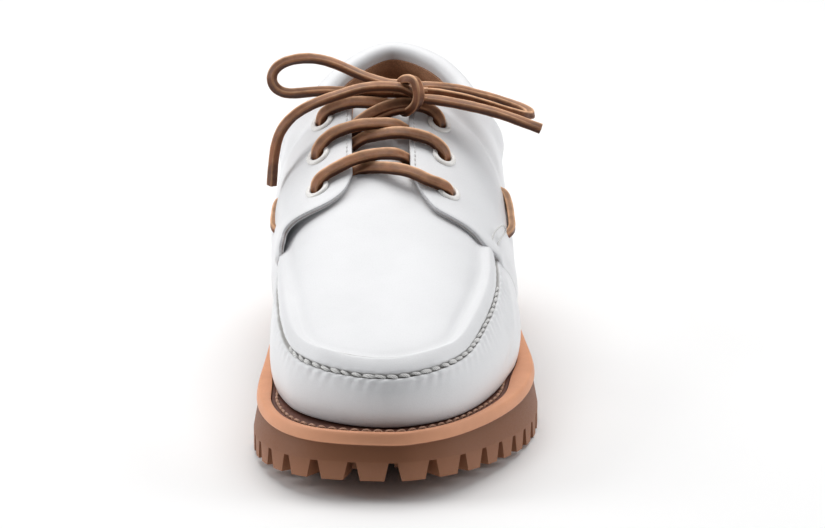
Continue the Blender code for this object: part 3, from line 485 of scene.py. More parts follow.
# ---------------------------------------------------------------- materials
class Finish:
    """A node material being put together around its Principled BSDF."""

    def __init__(self, name, colour, roughness, **sockets):
        self.material = bpy.data.materials.new(name)
        self.material.use_nodes = True
        self.tree = self.material.node_tree
        self.shader = self.tree.nodes["Principled BSDF"]
        self.shader.inputs["Base Color"].default_value = (*colour, 1)
        self.shader.inputs["Roughness"].default_value = roughness
        for socket, value in sockets.items():
            self.shader.inputs[socket.replace("_", " ")].default_value = value
        self.material.diffuse_color = (*colour, 1)
        self.coords = self.tree.nodes.new("ShaderNodeTexCoord").outputs["Object"]

    def node(self, kind, out=0, props=(), **inputs):
        n = self.tree.nodes.new("ShaderNode" + kind)
        for key, value in dict(props).items():
            setattr(n, key, value)
        for key, value in inputs.items():
            self.wire(value, n.inputs[int(key[1:])] if key[0] == "i" and key[1:].isdigit() else n.inputs[key.replace("_", " ")])
        return n.outputs[out]

    def wire(self, value, socket):
        if isinstance(value, bpy.types.NodeSocket):
            self.tree.links.new(value, socket)
        elif isinstance(value, (tuple, list)) and len(value) == 3 and socket.type == "RGBA":
            socket.default_value = (*value, 1)
        else:
            socket.default_value = value

    def math(self, op, a, b=0.0, clamp=False):
        return self.node("Math", props={"operation": op, "use_clamp": clamp}, i0=a, i1=b)

    def stretch(self, scale):
        """Coordinates in metres scaled along x, y and z."""
        return self.node("VectorMath", props={"operation": "MULTIPLY"}, i0=self.coords, i1=Vector(scale))

    def noise(self, scale, detail=3.0, rough=0.55, coords=None):
        return self.node(
            "TexNoise", Vector=coords or self.coords, Scale=scale, Detail=detail, Roughness=rough
        )

    def cells(self, scale, feature="DISTANCE_TO_EDGE", coords=None):
        return self.node("TexVoronoi", props={"feature": feature}, Vector=coords or self.coords, Scale=scale)

    def warp(self, amount, scale):
        """Coordinates shaken by amount metres."""
        shake = self.node("TexNoise", out=1, Vector=self.coords, Scale=scale, Detail=2.0)
        off = self.node("VectorMath", props={"operation": "SUBTRACT"}, i0=shake, i1=Vector((0.5, 0.5, 0.5)))
        off = self.node("VectorMath", props={"operation": "MULTIPLY"}, i0=off, i1=Vector((amount,) * 3))
        return self.node("VectorMath", props={"operation": "ADD"}, i0=self.coords, i1=off)

    def ramp(self, value, low, high, to_low=0.0, to_high=1.0):
        return self.node(
            "MapRange", props={"interpolation_type": "SMOOTHSTEP"}, Value=value,
            From_Min=low, From_Max=high, To_Min=to_low, To_Max=to_high,
        )

    def blend(self, factor, a, b):
        n = self.tree.nodes.new("ShaderNodeMix")
        n.data_type = "RGBA"
        self.wire(factor, n.inputs[0])
        self.wire(a, n.inputs[6])
        self.wire(b, n.inputs[7])
        return n.outputs[2]

    # by default this reads each piece's painted shading value, which on laces also carries rubbing and painted
    # highlight
    def attribute(self, name="painted_shading_and_wear"):
        return self.node("Attribute", out=2, props={"attribute_name": name})

    def colour(self, value):
        self.wire(value, self.shader.inputs["Base Color"])

    def roughness(self, value):
        self.wire(value, self.shader.inputs["Roughness"])

    def relief(self, height, distance, strength=1.0, below=None):
        inputs = {"Height": height, "Distance": distance, "Strength": strength}
        if below is not None:
            inputs["Normal"] = below
        normal = self.node("Bump", **inputs)
        self.wire(normal, self.shader.inputs["Normal"])
        return normal


def white_leather(name="white_leather", base=(0.815, 0.82, 0.835), shade=(0.30, 0.285, 0.27)):
    """Corrected-grain calf: fine pebble, faint pores, a soft sheen, and painted grey shade in its seams."""
    f = Finish(name, base, 0.42, Specular_IOR_Level=0.45)
    pebble = f.ramp(f.cells(1050.0, coords=f.warp(0.0009, 420.0)), 0.0, 0.16)
    pores = f.noise(3400.0, 2.0, 0.6)
    break_ = f.noise(130.0, 4.0, 0.6, f.stretch((1.0, 1.7, 1.0)))
    tone = f.noise(22.0, 3.0)
    height = f.math("ADD", f.math("MULTIPLY", pebble, 0.55), f.math("MULTIPLY", pores, 0.35))
    first = f.relief(break_, 0.00016, 0.30)
    f.relief(height, 0.00004, 0.55, first)
    low = tuple(c * 0.955 for c in base)
    body = f.blend(f.ramp(tone, 0.35, 0.65), low, base)
    body = f.blend(f.ramp(pebble, 0.0, 1.0, 0.14, 0.0), body, tuple(c * 0.8 for c in base))
    # painted shade: the colour goes to the grey shade colour where the piece's painted shading value is high, in seams
    # and creases
    f.colour(f.blend(f.attribute(), body, shade))
    rough = f.ramp(f.noise(60.0, 3.0), 0.3, 0.7, 0.36, 0.47)
    f.roughness(f.math("ADD", rough, f.math("MULTIPLY", f.attribute(), 0.3), clamp=True))
    return f.material


def cut_leather(name, base, dark):
    """Raw edge of a leather: fibres along it and a dull surface."""
    f = Finish(name, base, 0.8, Specular_IOR_Level=0.25)
    fibre = f.noise(900.0, 5.0, 0.7, f.stretch((1.0, 1.0, 2.6)))
    f.relief(fibre, 0.00012, 0.7)
    body = f.blend(f.ramp(fibre, 0.35, 0.7), dark, base)
    # painted shade: darkens where the piece's painted shading value is high
    f.colour(f.blend(f.attribute(), body, tuple(c * 0.35 for c in dark)))
    f.roughness(f.ramp(fibre, 0.2, 0.8, 0.7, 0.92))
    return f.material


def brown_leather(name, base, dark, scale=800.0, rough=(0.42, 0.6)):
    """Waxy brown leather: pebble, clouded tone, rubbed light on its raised parts."""
    f = Finish(name, base, 0.5, Specular_IOR_Level=0.4)
    pebble = f.ramp(f.cells(scale, coords=f.warp(0.001, 300.0)), 0.0, 0.2)
    cloud = f.noise(55.0, 5.0, 0.65)
    height = f.math("ADD", f.math("MULTIPLY", pebble, 0.5), f.math("MULTIPLY", f.noise(2400.0, 2.0), 0.4))
    f.relief(height, 0.00007, 0.6)
    body = f.blend(f.ramp(cloud, 0.3, 0.7), dark, base)
    body = f.blend(f.ramp(pebble, 0.0, 1.0, 0.35, 0.0), body, tuple(c * 0.55 for c in dark))
    # painted shade: darkens where the piece's painted shading value is high, in channels, seams and round edges
    f.colour(f.blend(f.attribute(), body, tuple(c * 0.3 for c in dark)))
    f.roughness(f.ramp(cloud, 0.25, 0.75, *rough))
    return f.material


def moulded_rubber(name, base, dark):
    """Matt crepe-coloured rubber: fine mould grain, clouded tone, and painted shade in the notches, under the rim and
    down the side wall.
    """
    f = Finish(name, base, 0.56, Specular_IOR_Level=0.34)
    grain = f.noise(2100.0, 3.0, 0.6)
    cloud = f.noise(38.0, 4.0, 0.6)
    speck = f.ramp(f.noise(700.0, 2.0), 0.68, 0.76)
    f.relief(f.math("ADD", grain, f.math("MULTIPLY", f.noise(260.0, 3.0), 0.8)), 0.00007, 0.6)
    body = f.blend(f.ramp(cloud, 0.3, 0.72), tuple(0.86 * c + 0.14 * d for c, d in zip(base, dark)), base)
    body = f.blend(f.math("MULTIPLY", speck, 0.25), body, tuple(min(c * 1.2, 1) for c in base))
    # painted shade: darkens to dark brown where the piece's painted shading value is high, under the rim's overhang,
    # down the side wall and in the notches
    f.colour(f.blend(f.attribute(), body, dark))
    f.roughness(f.ramp(grain, 0.3, 0.7, 0.48, 0.64))
    return f.material


def lace_leather(name="lace_leather"):
    """Square-cut waxed rawhide: brown faces with long streaks, rubbed pale corners, a painted highlight on what faces
    up and painted shade on what faces down.
    """
    base, dark, pale = (0.300, 0.110, 0.043), (0.086, 0.028, 0.0105), (0.93, 0.55, 0.32)
    f = Finish(name, base, 0.46, Specular_IOR_Level=0.3)
    cloud = f.noise(95.0, 5.0, 0.65)
    fibre = f.noise(1500.0, 3.0, 0.6)
    f.relief(f.math("ADD", fibre, f.math("MULTIPLY", f.noise(420.0, 3.0), 0.9)), 0.00009, 0.6)
    body = f.blend(f.ramp(cloud, 0.3, 0.7), dark, base)
    body = f.blend(f.ramp(fibre, 0.3, 0.75, 0.3, 0.0), body, dark)
    # the attribute is 1 on rubbed corners, is raised as painted highlight on faces turned up to the light, and is below
    # 0 as painted shade on faces turned down
    body = f.blend(f.ramp(f.attribute(), -1.0, 0.0, 1.0, 0.0), body, tuple(c * 0.55 for c in dark))
    # pale where corners are rubbed and, as painted highlight, where faces turn up
    rub_and_painted_highlight = f.math("MULTIPLY", f.attribute(), f.ramp(f.noise(260.0, 3.0), 0.25, 0.65, 0.60, 1.0), clamp=True)
    f.colour(f.blend(rub_and_painted_highlight, body, pale))
    f.roughness(f.ramp(cloud, 0.25, 0.75, 0.36, 0.52))
    return f.material


def waxed_thread(name, base, dark, twist=1400.0):
    f = Finish(name, base, 0.5, Specular_IOR_Level=0.4)
    ply = f.node("TexWave", props={"wave_type": "BANDS", "bands_direction": "DIAGONAL"}, out=1,
                 Vector=f.warp(0.0006, 500.0), Scale=twist / 2.5, Distortion=1.5, Detail=2.0)
    f.relief(ply, 0.00012, 0.7)
    body = f.blend(f.ramp(ply, 0.1, 0.7), dark, base)
    # painted shade: darkens where the thread's ends dip into the leather
    f.colour(f.blend(f.attribute(), body, tuple(c * 0.35 for c in dark)))
    return f.material


def enamel(name, base):
    f = Finish(name, base, 0.3, Specular_IOR_Level=0.5, Coat_Weight=0.25, Coat_Roughness=0.15)
    fleck = f.noise(1700.0, 3.0, 0.6)
    f.relief(f.noise(600.0, 3.0), 0.00003, 0.5)
    rubbed = f.ramp(fleck, 0.66, 0.74, 0.0, 0.35)
    body = f.blend(rubbed, base, tuple(c * 0.72 for c in base))
    # painted shade: darkens under the ring's flange and down its barrel, and a little at the hole's lip
    f.colour(f.blend(f.attribute(), body, tuple(c * 0.35 for c in base)))
    f.roughness(f.ramp(fleck, 0.3, 0.7, 0.24, 0.38))
    return f.material


WHITE = white_leather()
# a darker copy of the white leather: painted shade for the tongue, which lies low between the flaps and under the laces
TONGUE_SHADED_WHITE = white_leather("tongue_leather_shaded", (0.76, 0.765, 0.78))
CUT_GREY = cut_leather("cut_edge_grey", (0.76, 0.76, 0.77), (0.60, 0.60, 0.615))
CUT_PALE = cut_leather("cut_edge_pale", (0.66, 0.66, 0.67), (0.50, 0.50, 0.51))
LINING = brown_leather("brown_lining", (0.56, 0.29, 0.165), (0.38, 0.185, 0.10))
BOARD = brown_leather("welt_board", (0.210, 0.072, 0.042), (0.120, 0.040, 0.024), 600.0)
RUBBER = moulded_rubber("tan_rubber", (0.765, 0.364, 0.208), (0.150, 0.053, 0.020))
LACE = lace_leather()
LACE_CORE = brown_leather("lace_cut_end", (0.42, 0.23, 0.13), (0.25, 0.12, 0.06), 1500.0)
THREAD = waxed_thread("hand_stitch_thread", (0.80, 0.80, 0.79), (0.60, 0.595, 0.58))
FINE_THREAD = waxed_thread("machine_thread", (0.80, 0.80, 0.80), (0.62, 0.62, 0.62), 2600.0)
WELT_THREAD = waxed_thread("welt_thread", (0.66, 0.40, 0.28), (0.36, 0.18, 0.11), 1700.0)
SOCK = brown_leather("sock_leather", (0.30, 0.165, 0.095), (0.20, 0.10, 0.055), 700.0)
ENAMEL = enamel("eyelet_enamel", (0.86, 0.845, 0.82))


# ------------------------------------------------- camera, light and floor
def camera():
    """Low front view, seventeen degrees down, from well away."""
    distance, elevation, yaw, lens = 2.2, math.radians(17.5), math.radians(-0.81), 5361.0
    back = Vector((math.sin(yaw) * math.cos(elevation), -math.cos(yaw) * math.cos(elevation), math.sin(elevation)))
    aim = Vector(place((0, 120, 50)).tolist())
    forward = -back
    right = forward.cross(Vector((0, 0, 1))).normalized()
    up = right.cross(forward)
    # the shoe stands a little left of and below the middle of the frame
    look = forward * lens + right * (412.5 - 390.03) - up * (264.0 - 287.13)
    data = bpy.data.cameras.new("camera")
    data.sensor_width = 36
    data.lens = lens / 825 * 36
    data.clip_start, data.clip_end = 0.1, 30
    obj = bpy.data.objects.new("camera", data)
    obj.location = aim + back * distance
    obj.rotation_mode = "QUATERNION"
    obj.rotation_quaternion = look.to_track_quat("-Z", "Y")
    bpy.context.collection.objects.link(obj)
    bpy.context.scene.camera = obj


def area(name, at, towards, size, watts, colour=(1, 1, 1)):
    data = bpy.data.lights.new(name, "AREA")
    data.shape, data.size, data.size_y = "RECTANGLE", size[0], size[1]
    data.energy, data.color = watts, colour
    obj = bpy.data.objects.new(name, data)
    obj.location = at
    obj.rotation_mode = "QUATERNION"
    obj.rotation_quaternion = (Vector(towards) - Vector(at)).to_track_quat("-Z", "Y")
    bpy.context.collection.objects.link(obj)


def studio():
    world = bpy.data.worlds.new("studio")
    world.use_nodes = True
    world.node_tree.nodes["Background"].inputs[0].default_value = (0.95, 0.965, 1.0, 1)
    world.node_tree.nodes["Background"].inputs[1].default_value = 0.17
    bpy.context.scene.world = world
    bpy.context.scene.view_settings.view_transform = "Standard"
    bpy.context.scene.view_settings.exposure = 0.0
    # the main light hangs over and behind the shoe, two weaker ones stand at its sides
    area("rear_top", (-0.1, 0.82, 1.15), (0.0, 0.0, 0.03), (1.7, 0.8), 6.8, (1.0, 0.995, 0.985))
    area("overhead", (0.0, 0.35, 1.35), (0.0, 0.0, 0.03), (1.4, 0.8), 12.2, (1.0, 0.995, 0.985))
    area("left_strip", (-1.05, 0.0, 0.55), (0.0, 0.0, 0.07), (0.5, 0.9), 6.2)
    area("right_strip", (1.05, 0.0, 0.55), (0.0, 0.0, 0.07), (0.5, 0.9), 4.7)
    mesh = bpy.data.meshes.new("floor")
    bm = bmesh.new()
    bmesh.ops.create_grid(bm, x_segments=24, y_segments=24, size=3.0)
    bm.to_mesh(mesh)
    bm.free()
    f = Finish("floor_paper", (0.9, 0.9, 0.9), 0.75)
    f.relief(f.noise(220.0, 4.0), 0.0004, 0.1)
    f.colour(f.blend(f.noise(3.0, 2.0), (0.89, 0.89, 0.89), (0.92, 0.92, 0.92)))
    mesh.materials.append(f.material)
    floor = bpy.data.objects.new("floor", mesh)
    bpy.context.collection.objects.link(floor)


camera()
studio()


# ------------------------------------------------------- vamp and apron
_crest = [monotone([(r[0], r[k]) for r in MOC_CREST]) for k in (2, 1)]  # lateral, medial
stitch_drop = monotone([(r[0], r[3]) for r in MOC_CREST])


def crest_phi(t):
    y = out_y(t)
    return np.where(np.mod(t, 2) > 1, _crest[1](y), _crest[0](y))


class Sections:
    """Lengths along the sections at t, from the sole up to the ridge."""

    def __init__(self, t):
        self.t = np.asarray(t, float)
        self.phi = np.concatenate([np.linspace(-1, 0, 60)[:-1], np.linspace(0, 1, 200)])
        p = last(self.t[:, None], self.phi[None, :])
        far = np.linalg.norm(np.diff(p, axis=1), axis=2)
        self.run = np.concatenate([np.zeros((len(self.t), 1)), np.cumsum(far, axis=1)], axis=1)

    def length(self, phi):
        """Length up to phi, one value a section."""
        phi = np.broadcast_to(phi, self.t.shape)
        return np.array([np.interp(f, self.phi, r) for f, r in zip(phi, self.run)])

    def phi_at(self, lengths):
        """phi at these lengths: one row of lengths a section."""
        return np.array([np.interp(l, r, self.phi) for l, r in zip(lengths, self.run)])


def nearest(points, line, taper=None):
    """Distance of each point to the nearest of the line's points, and that point's taper."""
    d = np.linalg.norm(points.reshape(-1, 1, 3) - line[None], axis=2)
    i = d.argmin(axis=1)
    shape = points.shape[:-1]
    return d.min(axis=1).reshape(shape), (i / (len(line) - 1)).reshape(shape)


def through(points, count):
    """count points, evenly spaced, on a smooth curve through the route's own points."""
    p = np.array(points, float)
    run = run_of(p)
    curve = [smooth(run, p[:, k]) for k in range(p.shape[1])]
    fine = np.linspace(0, run[-1], 900)
    q = np.stack([c(fine) for c in curve], -1)
    at = np.interp(np.linspace(0, 1, count), run_of(q) / run_of(q)[-1], fine)
    return np.stack([c(at) for c in curve], -1)


def creases(points, lines):
    """Soft troughs and ridges: each is (t, phi) stations, height, width and how its ends fade."""
    total = np.zeros(points.shape[:-1])
    for stations, height, width in lines:
        ts, ph = through(stations, 90).T
        d, at = nearest(points, last(ts, ph))
        fade = step(at, 0.0, 0.22) * (1 - step(at, 0.72, 1.0))
        total += height * np.exp(-((d / width) ** 2)) * (0.25 + 0.75 * fade)
    return total


# Creases of the vamp: stations t, share of the section; height and width in mm
VAMP_CREASES = [
    ([(0.408, 0.22), (0.372, 0.17), (0.325, 0.10), (0.275, 0.02), (0.235, -0.08)], -0.55, 2.6),
    ([(0.392, 0.31), (0.360, 0.27), (0.325, 0.20), (0.300, 0.12)], 0.45, 2.2),
    ([(0.318, 0.36), (0.305, 0.31), (0.287, 0.24), (0.262, 0.17)], -0.40, 1.5),
    ([(0.352, 0.36), (0.335, 0.29), (0.310, 0.21)], -0.30, 1.3),
    ([(0.268, 0.35), (0.255, 0.30), (0.238, 0.25)], -0.25, 1.2),
    ([(1.640, 0.18), (1.680, 0.12), (1.730, 0.04), (1.775, -0.06)], -0.45, 2.6),
    ([(1.745, 0.23), (1.765, 0.17), (1.795, 0.10)], -0.30, 1.4),
]


def moc_relief(inside, drop, along, y, lateral):
    """Height of the sewn roll over the last. inside is mm from the crest
    towards the ridge, negative down the wall; drop is where the stitches run."""
    front = 1 - step(y, 119.0, 124.5)
    toe = 1 - step(y, 22, 60)
    lip = MOC_LIP + 0.25 * (1 - toe) + 0.10 * wobble(along, 1, 31.0, 13.0)
    w_in = 3.9 - 2.3 * toe
    x = inside
    roll_in = lip * (1 - step(x, 0.0, w_in)) - 0.32 * (1 - 0.5 * toe) * bump(x, w_in + 1.6, 1.9)
    e = np.clip(-x / (drop - 1.3), 0, 1)
    band = lip * (1 - (0.78 - 0.38 * toe) * (e**2 * (1 - toe) + (0.35 * e + 0.65 * e**1.6) * toe))
    to_seam = x + drop  # 0 on the stitch line, negative below it
    pitch = 2 * math.pi * along / MOC_STITCH
    tug = 0.5 + 0.5 * np.cos(pitch + 0.5 * wobble(along, 4, 47.0, 19.0))
    # the roll is drawn in at each stitch, and the vamp gathers below it
    band = band - 0.26 * tug * np.exp(-(np.maximum(to_seam, 0) / 1.7) ** 2) * (x < 0)
    strong = 0.62 + 0.38 * wobble(along, 2, 23.0, 9.0) + 0.55 * step(y, 30, 60) * (1 - step(y, 98, 112)) * lateral
    below = np.maximum(-to_seam - 1.2, 0)
    slant = 2 * math.pi * 0.42 * below / MOC_STITCH
    gather = 0.36 * strong * np.cos(pitch + slant + 0.6 * wobble(along, 5, 41.0, 17.0)) * np.exp(-((below / 3.4) ** 1.4))
    vamp_lip = 0.42 * bump(to_seam, -2.3, 1.3) + (gather - 0.12 * strong) * (to_seam < -0.9) * step(below, 0.0, 0.6)
    high = np.where(x >= 0, roll_in, np.where(to_seam > 0, band, 0.4 * lip * (0.25 + 0.35 * toe)))
    below_edge = vamp_lip + high * bump(to_seam, 0.0, 0.9)
    high = np.where(to_seam < 0, below_edge, high)
    half = 1.35 + 0.16 * wobble(along, 7, 15.0, 6.3)
    trench = 1 - step(np.abs(to_seam), 0.45, half)
    high = high * (1 - trench) - 0.80 * trench * (0.80 + 0.20 * wobble(along, 3, 7.1, 3.3))
    # the plug's edge has parted a little at the front of the toe
    part = bump(x, 0.30, 0.42) * step(along, -25, -20) * (1 - step(along, 3, 12)) * (0.78 + 0.22 * wobble(along, 12, 9.0, 5.0))
    high = high - 0.80 * part
    # painted shade: full in the stitch trench and where the plug's edge has parted, fading out beside them
    painted_shading_and_wear = np.clip(0.85 * (1 - step(np.abs(to_seam), 0.6, 1.3)) + 0.85 * part, 0, 1)
    return high * front, painted_shading_and_wear * front


def drop_on(tree, x, y):
    """Where a plumb line at x, y first meets the surface."""
    for dx, dy in ((0, 0), (0.02, 0.013), (-0.017, 0.021), (0.3, -0.2), (-0.3, 0.25)):
        hit = tree.ray_cast(Vector((x + dx, y + dy, 300)), Vector((0, 0, -1)))[0]
        if hit is not None:
            return (x, y, hit.z)
    return tuple(tree.find_nearest(Vector((x, y, 80)))[0])


def body():
    """Vamp wall, moccasin roll and apron in one skin, the seam sunk into it."""
    u_end = float(u_at(BODY_END_Y))
    s = np.linspace(-u_end, u_end, 2401)
    run = run_of(last(np.mod(s, 2), crest_phi(s)))
    run -= np.interp(0.0, s, run)
    n = 560
    cols = np.interp(np.linspace(run[0], run[-1], n), run, s)
    t = np.mod(cols, 2)
    y = out_y(t)
    lateral = 1.0 - step(-cols, -0.05, 0.05)
    table = Sections(t)
    crest = table.length(crest_phi(cols))
    drop = stitch_drop(y)
    ins = np.array([10.0, 8.6, 7.4, 6.4, 5.6, 4.9, 4.2, 3.6, 3.0, 2.4, 1.9, 1.4, 1.0, 0.7, 0.45, 0.2, 0.0])
    rows = [np.broadcast_to(v, n) for v in ins]
    rows += [-(drop - 1.4) * k / 11 for k in range(1, 12)]
    rows += [-drop + v for v in np.linspace(1.15, -1.4, 12)]
    rows += [-drop - 1.4 - v for v in (0.25, 0.55, 0.9, 1.3, 1.8, 2.4, 3.1, 3.9, 4.9, 6.1, 7.6, 9.4, 11.6)]
    tail = crest - drop - 13.0
    rows += [-(crest - tail * (1 - k / 13)) for k in range(1, 14)]
    inside = np.array(rows)  # rows x columns
    phi = table.phi_at((crest + inside).T).T
    tt = np.broadcast_to(t, phi.shape)
    seam = offset(t, table.phi_at((crest - drop)[:, None])[:, 0], np.zeros(n))
    along = run_of(seam)
    along -= np.interp(0.0, cols, along)
    high, painted_shading_and_wear = moc_relief(inside, drop, along, y, lateral)
    base = last(tt, phi)
    high = high + creases(base, VAMP_CREASES) * step(-inside - drop, 1.0, 3.0)
    high = high + 0.10 * wobble(along, 9, 63.0, 27.0) * step(-inside, 8, 16)
    points = base + last_normal(tt, phi) * high[..., None]
    net = Net()
    ids = net.grid(points, painted_shading_and_wear)
    # the middle of the apron, a mesh in plan laid on the last
    rim = points[0]
    back = []
    for a, m in ((cols[-1], False), (cols[0], True)):
        reach = np.linalg.norm(rim[-1 if not m else 0][:2] - ridge_point(np.mod(a, 2)))
        shares = np.linspace(1, 0, 13)[1:] if not m else np.linspace(0, 1, 13)[1:-1]
        tb = np.mod(a, 2)
        back += [offset(tb, float(phi_at_reach(tb, reach * k)), 0.0) for k in shares]
    ring = np.concatenate([rim, np.array(back)])
    hs = np.linspace(-u_end - 0.01, u_end + 0.01, 420)
    hp = 1 - np.linspace(0, 1, 90) ** 1.3
    grid = last(np.mod(hs, 2)[:, None], hp[None, :])
    tri = []
    for i in range(len(hs) - 1):
        for j in range(len(hp) - 1):
            k = i * len(hp) + j
            tri.append((k, k + 1, k + len(hp) + 1, k + len(hp)))
    tree = BVHTree.FromPolygons([Vector(p) for p in grid.reshape(-1, 3)], tri)
    inner = []
    gap = 2.0
    low, top = ring[:, :2].min(0), ring[:, :2].max(0)
    for j, yy in enumerate(np.arange(low[1], top[1], gap * 0.87)):
        for xx in np.arange(low[0] + (j % 2) * gap / 2, top[0], gap):
            if np.min(np.hypot(*(ring[:, :2] - (xx, yy)).T)) > 0.9:
                inner.append((xx, yy))
    m = len(ring)
    flat = [Vector(p[:2]) for p in ring] + [Vector(p) for p in inner]
    verts, _, faces, origin, _, _ = delaunay_2d_cdt(
        flat, [(i, (i + 1) % m) for i in range(m)], [], 1, 1e-6
    )
    new = []
    for v, o in zip(verts, origin):
        edge = [k for k in o if k < m]
        if edge and edge[0] < n:
            new.append(ids[0][edge[0]])
            continue
        if edge:
            p = ring[edge[0]]
        else:
            p = drop_on(tree, v.x, v.y)
        new += net.add([p])
    for f in faces:
        net.face([new[k] for k in f])
    obj = net.make("vamp_and_apron", [WHITE, LINING], 60)
    thick = obj.modifiers.new("leather", "SOLIDIFY")
    thick.thickness, thick.offset = 0.0012, -1
    thick.material_offset = thick.material_offset_rim = 1
    show(obj, "upper_leather")
    stitch_path = {"cols": cols, "along": along, "seam": seam, "y": y}
    return obj, stitch_path


def tube(net, path, ups, wide, high, painted_shading_and_wear=0.0, sides=8, square=0.0, ends=True, mat=0):
    """A thread or lace along path. wide and high are half sizes, one a point or
    the same for all; square 0 is an ellipse and 1 is nearly a rectangle."""
    path, ups = np.asarray(path, float), np.asarray(ups, float)
    n = len(path)
    ahead = unit(np.gradient(path, axis=0))
    across = unit(np.cross(ahead, ups))
    up = np.cross(across, ahead)
    a = (np.arange(sides) + 0.5) * 2 * math.pi / sides
    power_ = 2 / (2 + 5 * square)
    c = np.sign(np.cos(a)) * np.abs(np.cos(a)) ** power_
    s = np.sign(np.sin(a)) * np.abs(np.sin(a)) ** power_
    wide = np.broadcast_to(wide, n)[:, None, None]
    high = np.broadcast_to(high, n)[:, None, None]
    ring = (
        path[:, None]
        + across[:, None] * wide * c[None, :, None]
        + up[:, None] * high * s[None, :, None]
    )
    painted_shading_and_wear = np.broadcast_to(painted_shading_and_wear, (n, sides)) if np.ndim(painted_shading_and_wear) != 1 else np.repeat(np.asarray(painted_shading_and_wear)[:, None], sides, 1)
    ids = net.grid(ring, painted_shading_and_wear, wrap=True, mat=mat)
    if ends:
        net.face(ids[0][::-1], mat)
        net.face(ids[-1], mat)
    return ids


def hand_stitches(seam):
    """Waxed threads of the moccasin seam: long stitches that lap like a rope."""
    net = Net()
    along, cols = seam["along"], seam["cols"]
    first = math.ceil((along[0] + 34) / MOC_STITCH)
    final = math.floor((along[-1] - 32) / MOC_STITCH)
    for k in range(first, final + 1):
        mid = (k + 0.5) * MOC_STITCH + 0.35 * wobble(k, 3, 3.7, 2.3)
        at_y = float(np.interp(mid, along, seam["y"]))
        # further back the roll hangs over the thread and hides it
        hidden = 45.0 if np.mod(np.interp(mid, along, cols), 2) > 1 else 96.0
        if not 8 < at_y < hidden:
            continue
        half = (0.575 + 0.085 * wobble(k, 6, 4.3, 2.6)) * MOC_STITCH
        sides_of = 1 - step(at_y, 40, 62)
        n = 11
        x = np.linspace(-1, 1, n)
        a = mid + x * half
        c = np.interp(a, along, cols)
        t = np.mod(c, 2)
        y = out_y(t)
        tilt = 0.50 + 0.34 * wobble(k, 8, 5.1, 2.9)
        table = Sections(t)
        side = -x * tilt + 0.10 * wobble(k, 2, 2.1)
        phi = table.phi_at((table.length(crest_phi(c)) - stitch_drop(y) + side)[:, None])[:, 0]
        lift = -0.06 + 0.34 * (1 - x**2) - 1.05 * np.abs(x) ** 5 - 0.5 * step(at_y, hidden - 14, hidden)
        ups = last_normal(t, phi)
        fat = (1 - 0.55 * np.abs(x) ** 2.2) * (0.88 + 0.16 * wobble(k, 4, 2.7, 6.1))
        flat_ = 0.68 + 0.20 * sides_of
        # the thread's ends get painted shade where they dip into the leather
        tube(net, last(t, phi) + ups * lift[:, None], ups, flat_ * fat, 0.50 * fat, painted_shading_and_wear=0.62 * np.abs(x) ** 3)
    return show(net.make("moccasin_stitches", THREAD, 50), "upper_leather")


# ------------------------------------------------------------- quarters
LEATHER = 1.6
FLAP_LINING = 1.25
COLLAR_ROLL = 2.6  # the roll starts this far below the top line
COLLAR_WIDE = 4.2
COLLAR_START_Y = 194.5


def quarter_lift(t, phi):
    """How far the quarter's outside stands off the last: a lap at its front, more on the flaps."""
    y = out_y(t)
    behind = step(y, 112, 122)
    flap = step(phi, 0.15, 0.42) * (1 - step(y, 190, 215))
    lift = QUARTER_LAP + (FLAP_LIFT - QUARTER_LAP) * flap
    medial = (np.asarray(t) > 1) * np.exp(-(((y - 126) / 11) ** 2))
    return behind * (lift + MEDIAL_FLAP_LIFT * medial * np.exp(-(((phi - 0.42) / 0.2) ** 2)))


def sample(table, i, j):
    """Values of a grid between its points."""
    i = np.clip(i, 0, table.shape[0] - 1.0001)
    j = np.clip(j, 0, table.shape[1] - 1.0001)
    a, b = i.astype(int), j.astype(int)
    p, q = i - a, j - b
    low = table[a, b] * (1 - p) + table[a + 1, b] * p
    high = table[a, b + 1] * (1 - p) + table[a + 1, b + 1] * p
    return low * (1 - q) + high * q


class Side:
    """Flat map of one side of the upper: a runs along the widest line from the
    toe, s up the section from the sole, both in mm."""

    def __init__(self, medial, count=400):
        self.medial = medial
        self.u = np.linspace(float(u_at(108)), 1, count)
        self.t = np.mod(2 - self.u, 2) if medial else self.u
        self.run = run_of(last(self.t, 0.0))
        self.table = Sections(self.t)
        self.top = self.table.run[:, -1].max()
        self.s = np.linspace(0, self.top, 420)
        self.phi = self.table.phi_at(np.broadcast_to(self.s, (count, 420)))
        self.grid = last(self.t[::2, None], self.table.phi[None, ::2])

    def flat(self, t, phi):
        t, phi = np.broadcast_arrays(np.asarray(t, float), np.asarray(phi, float))
        u = 2 - t if self.medial else t
        i = np.interp(u, self.u, np.arange(len(self.u)))
        j = np.interp(phi, self.table.phi, np.arange(len(self.table.phi)))
        return np.stack([np.interp(u, self.u, self.run), sample(self.table.run, i, j)], -1)

    def curve(self, flat):
        """t and phi at flat points."""
        i = np.interp(flat[..., 0], self.run, np.arange(len(self.u)))
        phi = sample(self.phi, i, flat[..., 1] / self.top * (len(self.s) - 1))
        u = np.interp(flat[..., 0], self.run, self.u)
        return (2 - u if self.medial else u), phi

    def find(self, y, z):
        """t and phi of the point at this y and z."""
        d = (self.grid[..., 1] - y) ** 2 + (self.grid[..., 2] - z) ** 2
        i, j = np.unravel_index(d.argmin(), d.shape)
        return self.t[::2][i], self.table.phi[::2][j]


def even(points, gap):
    """Points along a polyline, gap apart."""
    run = run_of(points)
    n = max(int(round(run[-1] / gap)), 1)
    at = np.linspace(0, run[-1], n + 1)
    return np.stack([np.interp(at, run, points[:, k]) for k in range(points.shape[1])], -1)


